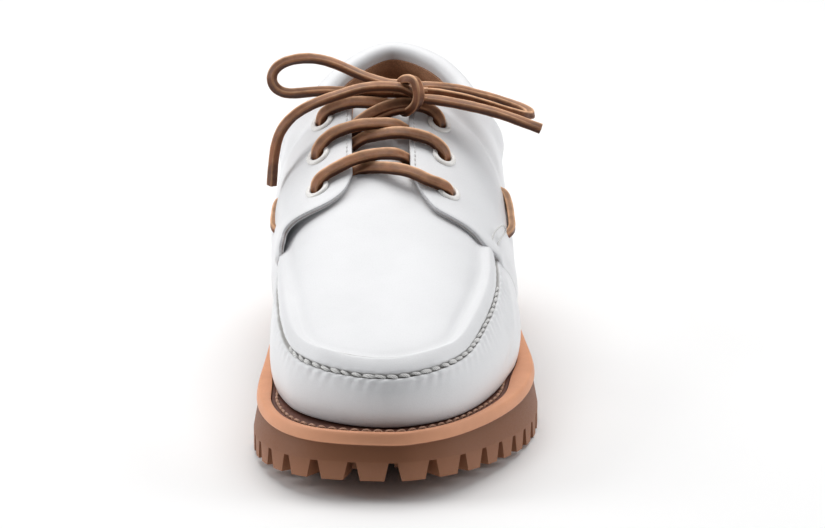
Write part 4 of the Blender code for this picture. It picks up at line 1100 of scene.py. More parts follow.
def within(points, outline):
    """Which of these flat points are inside the outline."""
    a, b = outline, np.roll(outline, -1, 0)
    x, y = points[:, :1], points[:, 1:]
    cross = (a[:, 1] > y) != (b[:, 1] > y)
    at = a[:, 0] + (y - a[:, 1]) * (b[:, 0] - a[:, 0]) / (b[:, 1] - a[:, 1] + 1e-12)
    return (np.sum(cross & (x < at), axis=1) % 2) == 1


def gaps(points, line):
    """Distance of each flat point to the nearest of the line's points."""
    out = np.empty(len(points))
    for k in range(0, len(points), 2000):
        part = points[k : k + 2000]
        out[k : k + 2000] = np.sqrt(((part[:, None] - line[None]) ** 2).sum(-1).min(1))
    return out


def inward(line, by):
    """A closed outline's points moved by mm to its inside."""
    ahead = unit(np.roll(line, -1, 0) - np.roll(line, 1, 0))
    area = np.sum(line[:, 0] * np.roll(line[:, 1], -1) - np.roll(line[:, 0], -1) * line[:, 1])
    left = np.stack([-ahead[:, 1], ahead[:, 0]], -1) * np.sign(area)
    return line + left * by


def fill(outline, holes, gap, rings=(), ringed=None):
    """Triangles inside the outline and outside its holes. Gives the flat points,
    the triangles, the outline's own points and those of each hole."""
    rims = np.concatenate([outline] + list(holes))
    extra = []
    for d in rings:
        ring = inward(outline, d)[ringed]
        ring = ring[within(ring, outline)]
        extra.append(ring[gaps(ring, rims) > d * 0.8])
    low, high = outline.min(0), outline.max(0)
    rows = np.arange(low[1], high[1], gap * 0.866)
    hexes = [
        np.stack([np.arange(low[0] + (k % 2) * gap / 2, high[0], gap), np.full(len(np.arange(low[0] + (k % 2) * gap / 2, high[0], gap)), y)], -1)
        for k, y in enumerate(rows)
    ]
    hexes = np.concatenate(hexes)
    hexes = hexes[within(hexes, outline)]
    for h in holes:
        hexes = hexes[~within(hexes, h)]
    taken = np.concatenate([rims] + extra)
    hexes = hexes[gaps(hexes, taken) > gap * 0.62]
    points = np.concatenate([rims] + extra + [hexes])
    edges, at = [], 0
    for loop in [outline] + list(holes):
        edges += [(at + i, at + (i + 1) % len(loop)) for i in range(len(loop))]
        at += len(loop)
    verts, _, tris, origin, _, _ = delaunay_2d_cdt([Vector(p) for p in points], edges, [], 1, 1e-7)
    new = {}
    for k, o in enumerate(origin):
        for i in o:
            new[i] = k
    verts = np.array([tuple(v) for v in verts])
    tris = np.array([tuple(f) for f in tris])
    for h in holes:
        tris = tris[~within(verts[tris].mean(1), h)]
    loops, at = [], 0
    for loop in [outline] + list(holes):
        loops.append([new[at + i] for i in range(len(loop))])
        at += len(loop)
    return verts, tris, loops[0], loops[1:]


def quarter_outline(side):
    """(t, phi) of the quarter's edge and how many points each stretch of it has:
    seam and flap front, throat, upper corner, top line, heel, foot."""
    m = side.medial
    tp = lambda y, phi: (float(t_at(y, m)), float(phi))
    at_reach = lambda y, r: tp(y, phi_at_reach(float(t_at(y, m)), r))
    low = -0.055 if m else 0.0
    seam = [tp(y, p if p < -0.3 else p + low * step(p, -0.3, 0.1)) for y, p in QUARTER_SEAM[::-1]]
    k = 1 if m else 2
    if m:
        nose = [tp(118.9, 0.325), at_reach(119.9, 39.4)]
        front = [r for r in FLAP_EDGE if r[0] > 121]
    else:
        nose = [tp(118.6, 0.43), tp(118.5, 0.482)]
        front = [r for r in FLAP_EDGE if r[0] > 119]
    front = [at_reach(r[0], r[k]) for r in front]
    flat = lambda pts: side.flat(*np.array(pts, float).T)
    ends = side.flat(*np.array(seam + nose + front).T)
    edge = through(ends, 1200)
    edge = even(edge, 0.8)
    throat = even(flat([at_reach(y, THROAT_HALF) for y in np.linspace(THROAT_Y, 187.5, 40)]), 0.9)[1:]
    us = np.linspace(float(u_at(COLLAR_START_Y)), 1, 300)
    ts = 2 - us if m else us
    top = top_length(side, us)
    top_flat = np.stack([np.interp(us, side.u, side.run), top - COLLAR_ROLL * step(out_y(us), 194.5, 212)], -1)
    top_even = even(top_flat, 1.45)
    start = at_reach(191.4, THROAT_HALF + 0.35)
    corner = through([throat[-2], throat[-1], tuple(flat([start])[0]), tuple(top_even[0]), tuple(top_even[1])], 400)
    far = run_of(corner)
    d0 = far[np.argmin(np.hypot(*(corner - throat[-1]).T))]
    d1 = far[np.argmin(np.hypot(*(corner - top_even[0]).T))]
    corner = corner[(far > d0 + 0.01) & (far < d1 - 0.01)]
    corner = even(corner, 0.9)[1:-1]
    heel = np.linspace(top_even[-1][1], 0, 52)[1:]
    heel = np.stack([np.full(len(heel), side.run[-1]), heel], -1)
    foot = even(np.stack([np.linspace(side.run[-1], edge[0][0], 60), np.zeros(60)], -1), 1.6)[1:-1]
    parts = [edge, throat, corner, top_even, heel, foot]
    return np.concatenate(parts), [len(p) for p in parts]


_top_rows = {}


def top_length(side, us):
    """Length up the section of the top line."""
    if side.medial not in _top_rows:
        rows = []
        for y, z_medial, z_lateral in TOP_LINE:
            z = z_medial if side.medial else z_lateral
            t = float(t_at(y, side.medial))
            phi = float(phi_at_reach(t, THROAT_HALF)) if z is None else phi_at_height(t, z)
            rows.append((y, float(side.flat(t, phi)[1])))
        _top_rows[side.medial] = monotone(rows)
    return _top_rows[side.medial](out_y(us))


# Creases of the quarters: stations t, share of the section; height and width in mm
QUARTER_CREASES = {
    False: [
        ([(0.633, 0.78), (0.628, 0.70), (0.623, 0.61), (0.621, 0.53), (0.620, 0.45), (0.612, 0.36), (0.600, 0.26)], -1.9, 4.4),
        ([(0.660, 0.50), (0.668, 0.36), (0.680, 0.22)], -0.6, 4.6),
        ([(0.560, 0.50), (0.575, 0.36), (0.600, 0.22)], -0.30, 5.5),
        ([(0.520, 0.30), (0.545, 0.12), (0.565, -0.10)], 0.35, 5.0),
        ([(0.700, 0.18), (0.740, 0.05), (0.790, -0.10)], -0.35, 4.5),
    ],
    True: [
        ([(1.368, 0.74), (1.373, 0.64), (1.378, 0.54), (1.381, 0.45), (1.384, 0.36), (1.392, 0.26)], -1.5, 4.6),
        ([(1.340, 0.50), (1.331, 0.36), (1.315, 0.22)], -0.6, 4.6),
        ([(1.440, 0.50), (1.425, 0.36), (1.400, 0.22)], -0.30, 5.5),
        ([(1.480, 0.30), (1.455, 0.12), (1.435, -0.10)], 0.35, 5.0),
        ([(1.300, 0.18), (1.260, 0.05), (1.210, -0.10)], -0.35, 4.5),
    ],
}


def collar_bulge(side, t, phi):
    """Share of the collar's padding at each point."""
    u = 2 - t if side.medial else t
    below = top_length(side, u) - side.flat(t, phi)[..., 1]
    return step(out_y(t), 192, 212) * (1 - step(below, 6.5, 17.0))


def outer_lift(side, t, phi):
    base = last(t, phi)
    high = quarter_lift(t, phi) + COLLAR_OUT * collar_bulge(side, t, phi)
    high = high + creases(base, QUARTER_CREASES[side.medial])
    a = side.flat(t, phi)
    high = high + 0.12 * wobble(a[..., 0] + 0.6 * a[..., 1], 3, 41.0, 17.0) * step(a[..., 1], 4, 12)
    return high


def layer(net, side, points, tris, border, holes, lift, thick, exact, rims, mats):
    """A leather layer over flat points: face, back and cut edges. exact is the
    (t, phi) of border points that must be met exactly; rims the border spans
    that get a cut edge. Gives the ids of the face's and the back's border."""
    t, phi = side.curve(points)
    for i, (a, b) in exact.items():
        t[border[i]], phi[border[i]] = a, b
    high = lift(t, phi)
    normal = last_normal(t, phi)
    base = last(t, phi)
    edge = np.concatenate([points[border][r[0] : r[1]] for r in rims] + [points[h] for h in holes])
    d = gaps(points, edge)
    round_ = 0.30 * (1 - step(d, 0.0, 0.75))
    face = net.add(base + normal * (high - round_)[:, None])
    back = net.add(base + normal * (high - thick + 0.5 * round_)[:, None])
    for a, b, c in tris.tolist():
        net.face((face[a], face[b], face[c]), mats[0])
        net.face((back[c], back[b], back[a]), mats[2])

    def rim(ids, closed, mat=1):
        mid_h = high[ids] - thick / 2
        outward = net_points = base[ids] + normal[ids] * mid_h[:, None]
        ring = points[ids]
        ahead = unit(np.gradient(outward, axis=0)) if not closed else unit(np.roll(outward, -1, 0) - np.roll(outward, 1, 0))
        push = np.cross(ahead, normal[ids])
        # away from the sheet, on the side that rim.way gives
        inner = points[ids].mean(0) if closed else None
        mids = net.add(net_points + push * 0.16 * rim.way)
        a = [face[i] for i in ids]
        b = [back[i] for i in ids]
        net.bridge(a, mids, closed, mats[mat])
        net.bridge(mids, b, closed, mats[mat])

    area = np.sum(points[border][:, 0] * np.roll(points[border][:, 1], -1) - np.roll(points[border][:, 0], -1) * points[border][:, 1])
    turn = np.sign(area) * (-1 if side.medial else 1)
    rim.way = turn
    for a, b, *mat in rims:
        ids = [border[i % len(border)] for i in range(a, b)]
        rim(ids, False, *mat)
    rim.way = -turn
    for h in holes:
        rim(h, True)
    return [face[i] for i in border], [back[i] for i in border], (t, phi, high)


def loop_at(centre, radius, count=22, squash=(1.0, 1.0), turn=0.0):
    a = np.arange(count) * 2 * math.pi / count
    x, y = radius * squash[0] * np.cos(a), radius * squash[1] * np.sin(a)
    c, s = math.cos(turn), math.sin(turn)
    return np.stack([centre[0] + c * x - s * y, centre[1] + s * x + c * y], -1)


# Slots of the side laces: medial or not, y and z of each end
LACE_SLOTS = {False: [(154.2, 62.5), (177.0, 73.6)], True: [(155.6, 63.7), (169.8, 71.4)]}


def eyelet_places(side):
    k = 0 if side.medial else 2
    for row in EYELETS:
        t = float(t_at(row[k], side.medial))
        yield t, float(phi_at_reach(t, row[k + 1]))


def quarters():
    """Both quarters with their rolled collar, and the lining of their flaps."""
    net = Net()
    found = {}
    for medial in (False, True):
        side = Side(medial)
        outline, counts = quarter_outline(side)
        marks = np.cumsum([0] + counts)
        seam_end, throat_end, corner_end, top_end, heel_end, foot_end = marks[1:]
        holes = [loop_at(side.flat(t, phi), EYELET_BARREL + 0.25) for t, phi in eyelet_places(side)]
        for y, z in LACE_SLOTS[medial]:
            holes.append(loop_at(side.flat(*side.find(y, z)), 2.6, 18, (0.62, 1.0), 0.45))
        ringed = np.arange(0, corner_end)
        points, tris, border, hole_ids = fill(outline, holes, 1.25, (0.35, 0.8, 1.5, 2.0, 2.5), ringed)
        exact = {}
        us = np.interp(outline[corner_end:top_end, 0], side.run, side.u)
        for k, u in enumerate(us):
            t = float(2 - u if medial else u)
            exact[corner_end + k] = (t, float(side.curve(outline[corner_end + k])[1]))
        heel_phi = np.interp(outline[top_end - 1 : heel_end, 1], Sections(np.array([1.0])).run[0], side.table.phi)
        for k, phi in enumerate(heel_phi):
            exact[top_end - 1 + k] = (1.0, float(phi))
        seam_len = int(np.argmin(gaps(outline[:seam_end], side.flat(t_at(118.6, medial), 0.40 if not medial else 0.31)[None])))
        lap = outline[:seam_len]

        def lift(t, phi):
            high = outer_lift(side, t, phi)
            d = gaps(side.flat(t, phi), lap)
            low = 1 - step(phi, *((0.16, 0.26) if side.medial else (0.29, 0.40)))
            return high - (quarter_lift(t, phi) - 0.35) * (1 - step(d, 0.0, 8.0)) * low

        rims = [(0, seam_len + 1, 0), (seam_len, corner_end + 1), (heel_end - 1, foot_end), (foot_end - 1, foot_end + 1)]
        face, back, (t, phi, high) = layer(
            net, side, points, tris, border, hole_ids, lift, LEATHER, exact, rims, (0, 1, 2)
        )
        # the collar: a padded roll over the top line, then a band down the inside
        ids = list(range(corner_end, top_end))
        tt = np.array([exact[i][0] for i in ids])
        pp = np.array([exact[i][1] for i in ids])
        y = out_y(tt)
        full = step(y, 194.5, 213)
        hh = high[[border[i] for i in ids]]
        inner = hh - LEATHER - (COLLAR_WIDE * 2 - LEATHER) * full
        mid, wide = (hh + inner) / 2, (hh - inner) / 2
        tall = 0.675 + (COLLAR_ROLL + 0.7 - 0.675) * full
        n3 = last_normal(tt, pp)
        base = last(tt, pp)
        up = unit(last(tt, pp + 0.004) - last(tt, pp - 0.004))
        rows = []
        angles = np.linspace(0, math.pi, 13)[1:-1]
        for a in angles:
            rows.append(base + n3 * (mid + wide * math.cos(a))[:, None] + up * (tall * math.sin(a))[:, None])
        s0 = outline[ids][:, 1]
        band = (1.2 + 6.6 * full)[:, None]
        for share in (0, 0.15, 0.35, 0.6, 0.85, 1.0):
            down = (band * share)[:, 0]
            p = side.curve(np.stack([outline[ids][:, 0], s0 - down], -1))[1]
            fade = 1 - 0.30 * step(down, 2.0, 9.0) * full
            rows.append(last(tt, p) + last_normal(tt, p) * (inner * fade)[:, None])
        ids_rows = [net.add(r) for r in rows]
        net.bridge([face[i] for i in ids], ids_rows[0], False, 0)
        for a, b in zip(ids_rows, ids_rows[1:]):
            net.bridge(a, b, False, 0)
        net.bridge(ids_rows[-1], [back[i] for i in ids], False, 2)
        # close the front end of the roll
        first = [face[ids[0]]] + [r[0] for r in ids_rows] + [back[ids[0]]]
        net.face(first, 1)
        found[medial] = {"side": side, "outline": outline, "marks": marks, "lap": seam_len, "inner": (tt, s0, inner, full)}
    obj = net.make("quarters", [WHITE, CUT_GREY, LINING], 50, merge=1e-5)
    show(obj, "upper_leather")
    return obj, found


def flap_lining(found):
    """The second layer of each flap: its pale edge shows under the first."""
    net = Net()
    for medial, data in found.items():
        side, outline, marks = data["side"], data["outline"], data["marks"]
        corner_end, top_end = marks[3], marks[4]
        stop = corner_end + int(np.argmin(np.abs(outline[corner_end:top_end, 0] - float(side.flat(t_at(207, medial), 0.3)[0]))))
        start = data["lap"] - 6
        edge = inward(outline, 0.42)[start:stop]
        a0, a1 = edge[0], edge[-1]
        back = np.array([a1 - (0, 9), (a1[0] - 14, a1[1] - 30), (a0[0] + 30, a0[1] + 8), a0 + (6, -2)])
        back = even(np.concatenate([a1[None], back, a0[None]]), 1.6)[1:-1]
        line = np.concatenate([edge, back])
        holes = [loop_at(side.flat(t, phi), EYELET_BARREL + 0.25) for t, phi in eyelet_places(side)]
        points, tris, border, hole_ids = fill(line, holes, 2.0, (0.4, 0.9), np.arange(len(edge)))
        lift = lambda t, phi: outer_lift(side, t, phi) - LEATHER - 0.06
        n = len(line)
        layer(net, side, points, tris, border, hole_ids, lift, FLAP_LINING, {}, [(0, n), (n - 1, n + 1)], (0, 1, 0))
    obj = net.make("flap_linings", [WHITE, CUT_PALE], 50)
    return show(obj, "upper_leather")


def machine_stitches(net, line, ups, pitch, length=None, wide=0.34, high=0.26, sunk=0.02):
    """Short fine stitches along line, each dipping into the leather at its ends."""
    run = run_of(line)
    count = int(run[-1] / pitch)
    length = length or pitch * 0.86
    start = (run[-1] - count * pitch) / 2
    x = np.linspace(-1, 1, 7)
    for k in range(count):
        mid = start + (k + 0.5) * pitch
        at = mid + x * length / 2
        p = np.stack([np.interp(at, run, line[:, i]) for i in range(3)], -1)
        u = unit(np.stack([np.interp(at, run, ups[:, i]) for i in range(3)], -1))
        lift = -sunk + 0.20 * (1 - x**2) - 0.42 * np.abs(x) ** 5
        # the thread's ends get painted shade where they dip into the leather
        tube(net, p + u * lift[:, None], u, wide * (1 - 0.4 * np.abs(x) ** 3), high, painted_shading_and_wear=0.6 * np.abs(x) ** 4, sides=6)


def quarter_stitches(found):
    net = Net()
    for medial, data in found.items():
        side, outline, marks = data["side"], data["outline"], data["marks"]
        corner_end = marks[3]
        flat = inward(outline, 1.7)[marks[1] : corner_end - 3]
        t, phi = side.curve(flat)
        machine_stitches(net, offset(t, phi, outer_lift(side, t, phi)), last_normal(t, phi), 2.7)
    obj = net.make("quarter_stitches", FINE_THREAD, 50)
    return show(obj, "upper_leather")


# Loose end of the hand-sewn seam, tied off where the lateral flap starts: t, share, lift
SEAM_KNOT = [
    (0.422, 0.442, -0.4), (0.431, 0.442, 1.0), (0.441, 0.432, 2.6), (0.449, 0.416, 3.8), (0.453, 0.400, 4.4),
    (0.452, 0.386, 3.9), (0.446, 0.384, 2.8), (0.438, 0.392, 1.7), (0.430, 0.400, 0.8), (0.421, 0.404, -0.5),
]


def seam_knot():
    """A loop of the seam's thread, standing on the lateral quarter."""
    t, phi, lift = through(SEAM_KNOT, 60).T
    net = Net()
    path = offset(t, phi, outer_lift(Side(False), t, phi) + lift)
    tube(net, path, np.tile([0.3, 0.9, -0.3], (len(path), 1)), 0.42, 0.38, sides=8)
    return show(net.make("seam_knot", THREAD, 50), "upper_leather")


def heel_strip(found):
    """Back strip over the joint of the two quarters, with a row of stitches down each edge."""
    sides = {m: d["side"] for m, d in found.items()}
    net, seams = Net(), Net()
    half = 8.5
    high = float(top_length(sides[False], np.array([1.0]))[0]) - 8.0
    rows, count = 44, 25
    s = np.linspace(0.0, high, rows)
    w = half * (1 - 0.10 * np.sin(np.pi * s / high)) * np.sqrt(np.clip(1 - ((s - high + 5.0) / 5.0).clip(0) ** 2, 0.02, 1))
    skins = []
    for depth in (0.0, 1.0):
        pts = []
        for k in range(rows):
            x = np.linspace(-1, 1, count) * w[k]
            row = []
            for value in x:
                side = sides[value > 0]
                t, phi = side.curve(np.array([side.run[-1] - abs(value), s[k]]))
                t, phi = float(t), float(phi)
                edge = 1 - abs(value) / w[k] * 0.999
                lift = float(outer_lift(side, np.array([t]), np.array([phi]))[0]) + 0.75 - depth - 0.3 * (1 - step(edge * w[k], 0, 0.8))
                row.append(offset(t, phi, lift))
            pts.append(row)
        skins.append(net.grid(np.array(pts)))
    border = lambda g: g[0] + [r[-1] for r in g[1:-1]] + g[-1][::-1] + [r[0] for r in g[-2:0:-1]]
    net.bridge(border(skins[0]), border(skins[1]), True, 1)
    for way in (-1, 1):
        side = sides[way > 0]
        flat = np.stack([side.run[-1] - (w - 1.7), s], -1)[3:-3]
        t, phi = side.curve(flat)
        machine_stitches(seams, offset(t, phi, outer_lift(side, t, phi) + 0.75), last_normal(t, phi), 2.7)
    strip = show(net.make("heel_strip", [WHITE, CUT_GREY], 50), "upper_leather")
    return strip, show(seams.make("heel_stitches", FINE_THREAD, 50), "upper_leather")


# ------------------------------------------------------------------ sole
_foot_ring = last(np.linspace(0, 2, 3001), -1.0)[:, :2]


def flange(t):
    """Width of the ledge between the sole's edge and the foot of the upper."""
    return gaps(sole_edge(np.asarray(t, float), np.zeros(len(t))), _foot_ring)


def rim_width(t):
    """Width of the rim's top: a narrow wall round the toe, the whole ledge behind."""
    y = edge_y(t)
    k = step(y, 44, 88)
    return rim_top(y) * (1 - k) + (flange(t) - 0.9) * k


def side_stations(medial):
    """Stations down one side, toe to heel, and each lug's share of them."""
    u = np.linspace(0, 1, 4001)
    t = 2 - u if medial else u
    run = run_of(sole_edge(t, np.zeros(len(t))))
    side = LUGS_A_SIDE - len(TOE_PITCH)
    pitches = TOE_PITCH + [(run[-1] - sum(TOE_PITCH)) / side] * side
    marks, lugs, at = [0.0], [], 0.0
    for pitch in pitches:
        notch = pitch * (1 - LUG_SHARE) / 2
        ends = list(np.linspace(at + notch, at + pitch - notch, 6))
        lugs.append(list(range(len(marks), len(marks) + len(ends))))
        marks += ends
        at += pitch
    marks.append(run[-1])
    return np.interp(marks, run, t), lugs


def outsole():
    net = Net()
    lat, lugs = side_stations(False)
    med = side_stations(True)[0]
    count = len(lat)
    loop = np.concatenate([lat, med[-2:0:-1]])  # once round: toe, lateral, heel, medial
    n = len(loop)
    width = rim_width(loop)

    def ring(inset, height, painted_shading_and_wear=0.0):
        p = sole_edge(loop, np.broadcast_to(np.asarray(inset, float), n))
        shape = np.concatenate([p, height(p[:, 1])[:, None]], 1)
        return shape, net.add(shape, painted_shading_and_wear)

    floor = MIDSOLE_BELOW_RIM + MIDSOLE_THICK + GAP
    root = lambda y: lug_end(y) + LUG_DEPTH + 1.0 * step(y, 205, 225)
    below = lambda d: (lambda y: sole_top(y) - d)
    # inset, drop and painted shade of each ring: a little where the rim meets the welt, heavy under the rim's overhang
    top = [
        (width, floor, 0.6), (width, 1.0, 0.35), (width, 0.35, 0.1), (width - 0.12, 0.10, 0.0), (width - 0.45, 0.0, 0.0),
        ((width + 1.75) / 2, -0.05, 0.0), (1.75, 0.0, 0.0), (1.25, 0.12, 0.0), (0.90, 0.42, 0.0), (0.42, 1.65, 0.0),
        (0.12, 2.9, 0.0), (0.0, 3.9, 0.0), (0.04, 4.45, 0.0), (0.30, 4.82, 0.0), (0.80, 5.00, 0.60), (0.95, 5.35, 0.95),
        (0.82, 5.9, 0.92),
    ]
    made = [ring(inset, below(d), painted_shading_and_wear) for inset, d, painted_shading_and_wear in top]
    shade = 0.25 * step(np.arange(3), -1, 3)
    # the side wall, lug roots and inner ring: painted shade, as in the rim's shadow and the notches
    for share, painted_shading_and_wear in ((0.35, 0.88), (0.7, 0.86), (0.93, 0.84)):
        high = lambda y, s=share: (sole_top(y) - 5.9) * (1 - s) + root(y) * s
        made.append(ring(0.82 - (SIDE_FLARE + 0.82) * share, high, painted_shading_and_wear))
    made.append(ring(-SIDE_FLARE, root, 0.80))
    made.append(ring(LUG_REACH, root, 0.9))
    shapes = [m[0] for m in made]
    rings = [m[1] for m in made]
    for a, b in zip(rings[:-2], rings[1:-1]):
        net.bridge(a, b)
    side, inner = rings[-2], rings[-1]
    side_p, inner_p = shapes[-2], shapes[-1]

    def partner(i):
        return (n - i) % n

    def patch(*v):
        v = [q for k, q in enumerate(v) if q not in v[:k]]
        if len(v) > 2:
            net.face(v)

    # floor of the recess that holds the midsole: strips across the shoe
    first = rings[0]
    for i in range(count - 1):
        patch(first[i], first[i + 1], first[partner(i + 1)], first[partner(i)])

    def lug(root_ids, low, rows=1):
        """A lug: its root is the loop root_ids, its end the points low."""
        start = np.array([net.points[v] for v in root_ids])
        low = np.array([(x, y, float(lug_end(y))) for x, y in low])
        above = root_ids
        for share in (0.45, 0.88, 1.0):
            # painted shade down each lug, a little lighter towards its end
            ids = net.add(start * (1 - share) + low * share, 0.80 - 0.14 * share)
            net.bridge(above, ids)
            above = ids
        net.face(above)

    def treads(k):
        y = side_p[lugs[k][-1]][1]
        return not ARCH_Y[0] < y < ARCH_Y[1]

    in_lug = {i for k, ids in enumerate(lugs) if treads(k) for i in ids[:-1]}

    # edge lugs and the notches between them, down each side
    for way in (1, -1):
        at = lambda i: (way * i) % n
        for i in range(count - 1):
            if i not in in_lug:
                patch(side[at(i)], side[at(i + 1)], inner[at(i + 1)], inner[at(i)])
        for k, ids in enumerate(lugs):
            if not treads(k):
                continue
            ids = [at(i) for i in ids]
            low = []
            for row in (side_p[ids][:, :2], inner_p[ids][::-1][:, :2]):
                run = run_of(row)
                give = min(LUG_TAPER, 0.3 * run[-1])
                marks = give + run / run[-1] * (run[-1] - 2 * give)
                low += [np.array([np.interp(m, run, row[:, 0]), np.interp(m, run, row[:, 1])]) for m in marks]
            lug([side[j] for j in ids] + [inner[j] for j in ids[::-1]], low)

    # field of the tread: strips across, with two rows of square lugs
    shares = [0.0, 0.1, 0.43, 0.57, 0.9, 1.0]
    rows = []
    for i in range(count):
        a, b = inner_p[i], inner_p[partner(i)]
        if i in (0, count - 1):
            rows.append([inner[i]] * len(shares))
            continue
        ids = [inner[i]]
        for s in shares[1:-1]:
            q = a + (b - a) * s
            q[2] = root(q[1])
            # the tread field between the lugs: painted shade
            ids.append(net.add([q], 0.85)[0])
        rows.append([*ids, inner[partner(i)]])
    field = [k for k in range(2, LUGS_A_SIDE - 2) if treads(k)]
    covered = {i for k in field for i in lugs[k][:-1]}
    for j in range(len(shares) - 1):
        for i in range(count - 1):
            if not (j in (1, 3) and i in covered):
                patch(rows[i][j], rows[i + 1][j], rows[i + 1][j + 1], rows[i][j + 1])
        for k in field if j in (1, 3) else []:
            ids = [rows[i][j] for i in lugs[k]] + [rows[i][j + 1] for i in lugs[k][::-1]]
            pts = np.array([net.points[v] for v in ids])[:, :2]
            mid = pts.mean(0)
            lug(ids, mid + (pts - mid) * (0.84, 0.76))
    obj = net.make("lug_outsole", RUBBER, 38)
    soft = obj.modifiers.new("moulded_edges", "BEVEL")
    soft.width, soft.segments, soft.limit_method, soft.angle_limit = 0.00045, 2, "ANGLE", math.radians(42)
    soft.use_clamp_overlap = True
    return show(obj, "outsole_rubber", "outsole")


def nested(net, loop_points, insets, heights, ring_painted_shading, mat=0, centre=True):
    """Rings drawn in from an outline, then strips across the middle. Each ring is
    a function of its inset; gives all the ids."""
    ids = []
    for inset, high, painted_shading_and_wear in zip(insets, heights, ring_painted_shading):
        p = loop_points(inset)
        z = high(p[:, 1]) if callable(high) else high
        ids.append(net.add(np.concatenate([p, np.reshape(z, (-1, 1))], 1), painted_shading_and_wear))
    for a, b in zip(ids, ids[1:]):
        net.bridge(a, b, True, mat)
    if centre:
        last_ = ids[-1]
        n = len(last_)
        for i in range(n // 2):
            quad = []
            for v in (last_[i], last_[i + 1], last_[(n - i - 1) % n], last_[(n - i) % n]):
                if v not in quad:
                    quad.append(v)
            if len(quad) > 2:
                net.face(quad, mat)
    return ids


def even_loop(outline, count):
    """count values of t, evenly spaced round an outline, with 0 and 1 among them."""
    half = count // 2
    parts = []
    for a, b in ((0.0, 1.0), (1.0, 2.0)):
        t = np.linspace(a, b, 3001)
        run = run_of(outline(t))
        parts.append(np.interp(np.linspace(0, run[-1], half + 1), run, t)[:-1])
    return np.concatenate(parts)


def welt():
    """Board in the channel round the upper, sewn down with waxed thread."""
    t = even_loop(lambda s: sole_edge(s, np.zeros(len(s))), 420)
    w = rim_width(t)
    low, high = MIDSOLE_BELOW_RIM + MIDSOLE_THICK, MIDSOLE_BELOW_RIM
    net = Net()
    # inset, drop and painted shade of each ring: dark against the rim's wall, in the stitch groove and towards the
    # upper
    steps = [
        (0.12, low, 0.9), (0.12, high + 0.5, 0.8), (0.25, high + 0.15, 0.5), (0.6, high, 0.15), (1.5, high - 0.05, 0.0),
        (1.95, high + 0.10, 0.45), (2.35, high + 0.22, 0.7), (2.75, high + 0.10, 0.45), (3.3, high - 0.05, 0.0), (5.0, high, 0.2), (8.0, high + 0.2, 0.6),
    ]
    line = lambda d: (lambda inset: sole_edge(t, w + inset))(d)
    ids = nested(net, line, [s[0] for s in steps], [(lambda y, d=s[1]: sole_top(y) - d) for s in steps], [s[2] for s in steps])
    # the board's underside: full painted shade
    bottom = nested(net, line, [0.12, 8.0], [lambda y: sole_top(y) - low - 0.01] * 2, [1, 1])
    board = show(net.make("welt_board", BOARD, 50), "midsole_board", "midsole")
    seams = Net()
    us = np.linspace(-0.42, 0.42, 1500)
    tt = np.mod(us, 2)
    p = sole_edge(tt, rim_width(tt) + 2.35)
    p3 = np.concatenate([p, (sole_top(p[:, 1]) - high - 0.16)[:, None]], 1)
    keep = (p[:, 1] < 92)
    run = run_of(p3[keep])
    rows = p3[keep]
    count = int(run[-1] / WELT_STITCH)
    x = np.linspace(-1, 1, 11)
    for k in range(count):
        at = (k + 0.5) * WELT_STITCH + x * WELT_STITCH * 0.40
        q = np.stack([np.interp(at, run, rows[:, i]) for i in range(3)], -1)
        lift = 0.18 + 0.50 * (1 - x**2) - 0.75 * np.abs(x) ** 5
        q[:, 2] += lift
        up = np.broadcast_to((0.0, 0.0, 1.0), q.shape)
        # the thread's ends get painted shade where they dip into the board
        tube(seams, q, up, 0.62 * (1 - 0.4 * np.abs(x) ** 3), 0.45, painted_shading_and_wear=0.5 * np.abs(x) ** 4, sides=8)
    return board, show(seams.make("welt_stitches", WELT_THREAD, 50), "midsole_board")


def footbed():
    """Leather sock: flat under the foot, turned up a little round its edge."""
    t = np.linspace(0, 2, 361)[:-1]
    foot = last(t, -1.0)[..., :2]
    d = unit(np.stack([out_x(t), out_y(t)], -1) - ridge_point(t))
    base = sole_top(0) * 0
    line = lambda inset: foot - d * (WALL + 0.8 + inset)
    low = MIDSOLE_BELOW_RIM - GAP
    top = low - INSOLE_THICK
    net = Net()
    # inset, drop and painted shade of each ring: darker where the sock turns up at its edge
    steps = [(0.0, low, 0.8), (0.0, top - 1.2, 0.4), (0.35, top - 1.6, 0.2), (1.0, top - 1.55, 0.0), (3.0, top - 0.9, 0.0), (6.0, top - 0.2, 0.0), (10.0, top, 0.0), (14.0, top + 0.1, 0.0)]
    nested(net, line, [s[0] for s in steps], [(lambda y, d=s[1]: sole_top(y) - d) for s in steps], [s[2] for s in steps])
    # the sock's underside: full painted shade
    nested(net, line, [0.0, 14.0], [lambda y: sole_top(y) - low + 0.01] * 2, [1, 1])
    return show(net.make("footbed", SOCK, 50), "sock_leather", "insole")


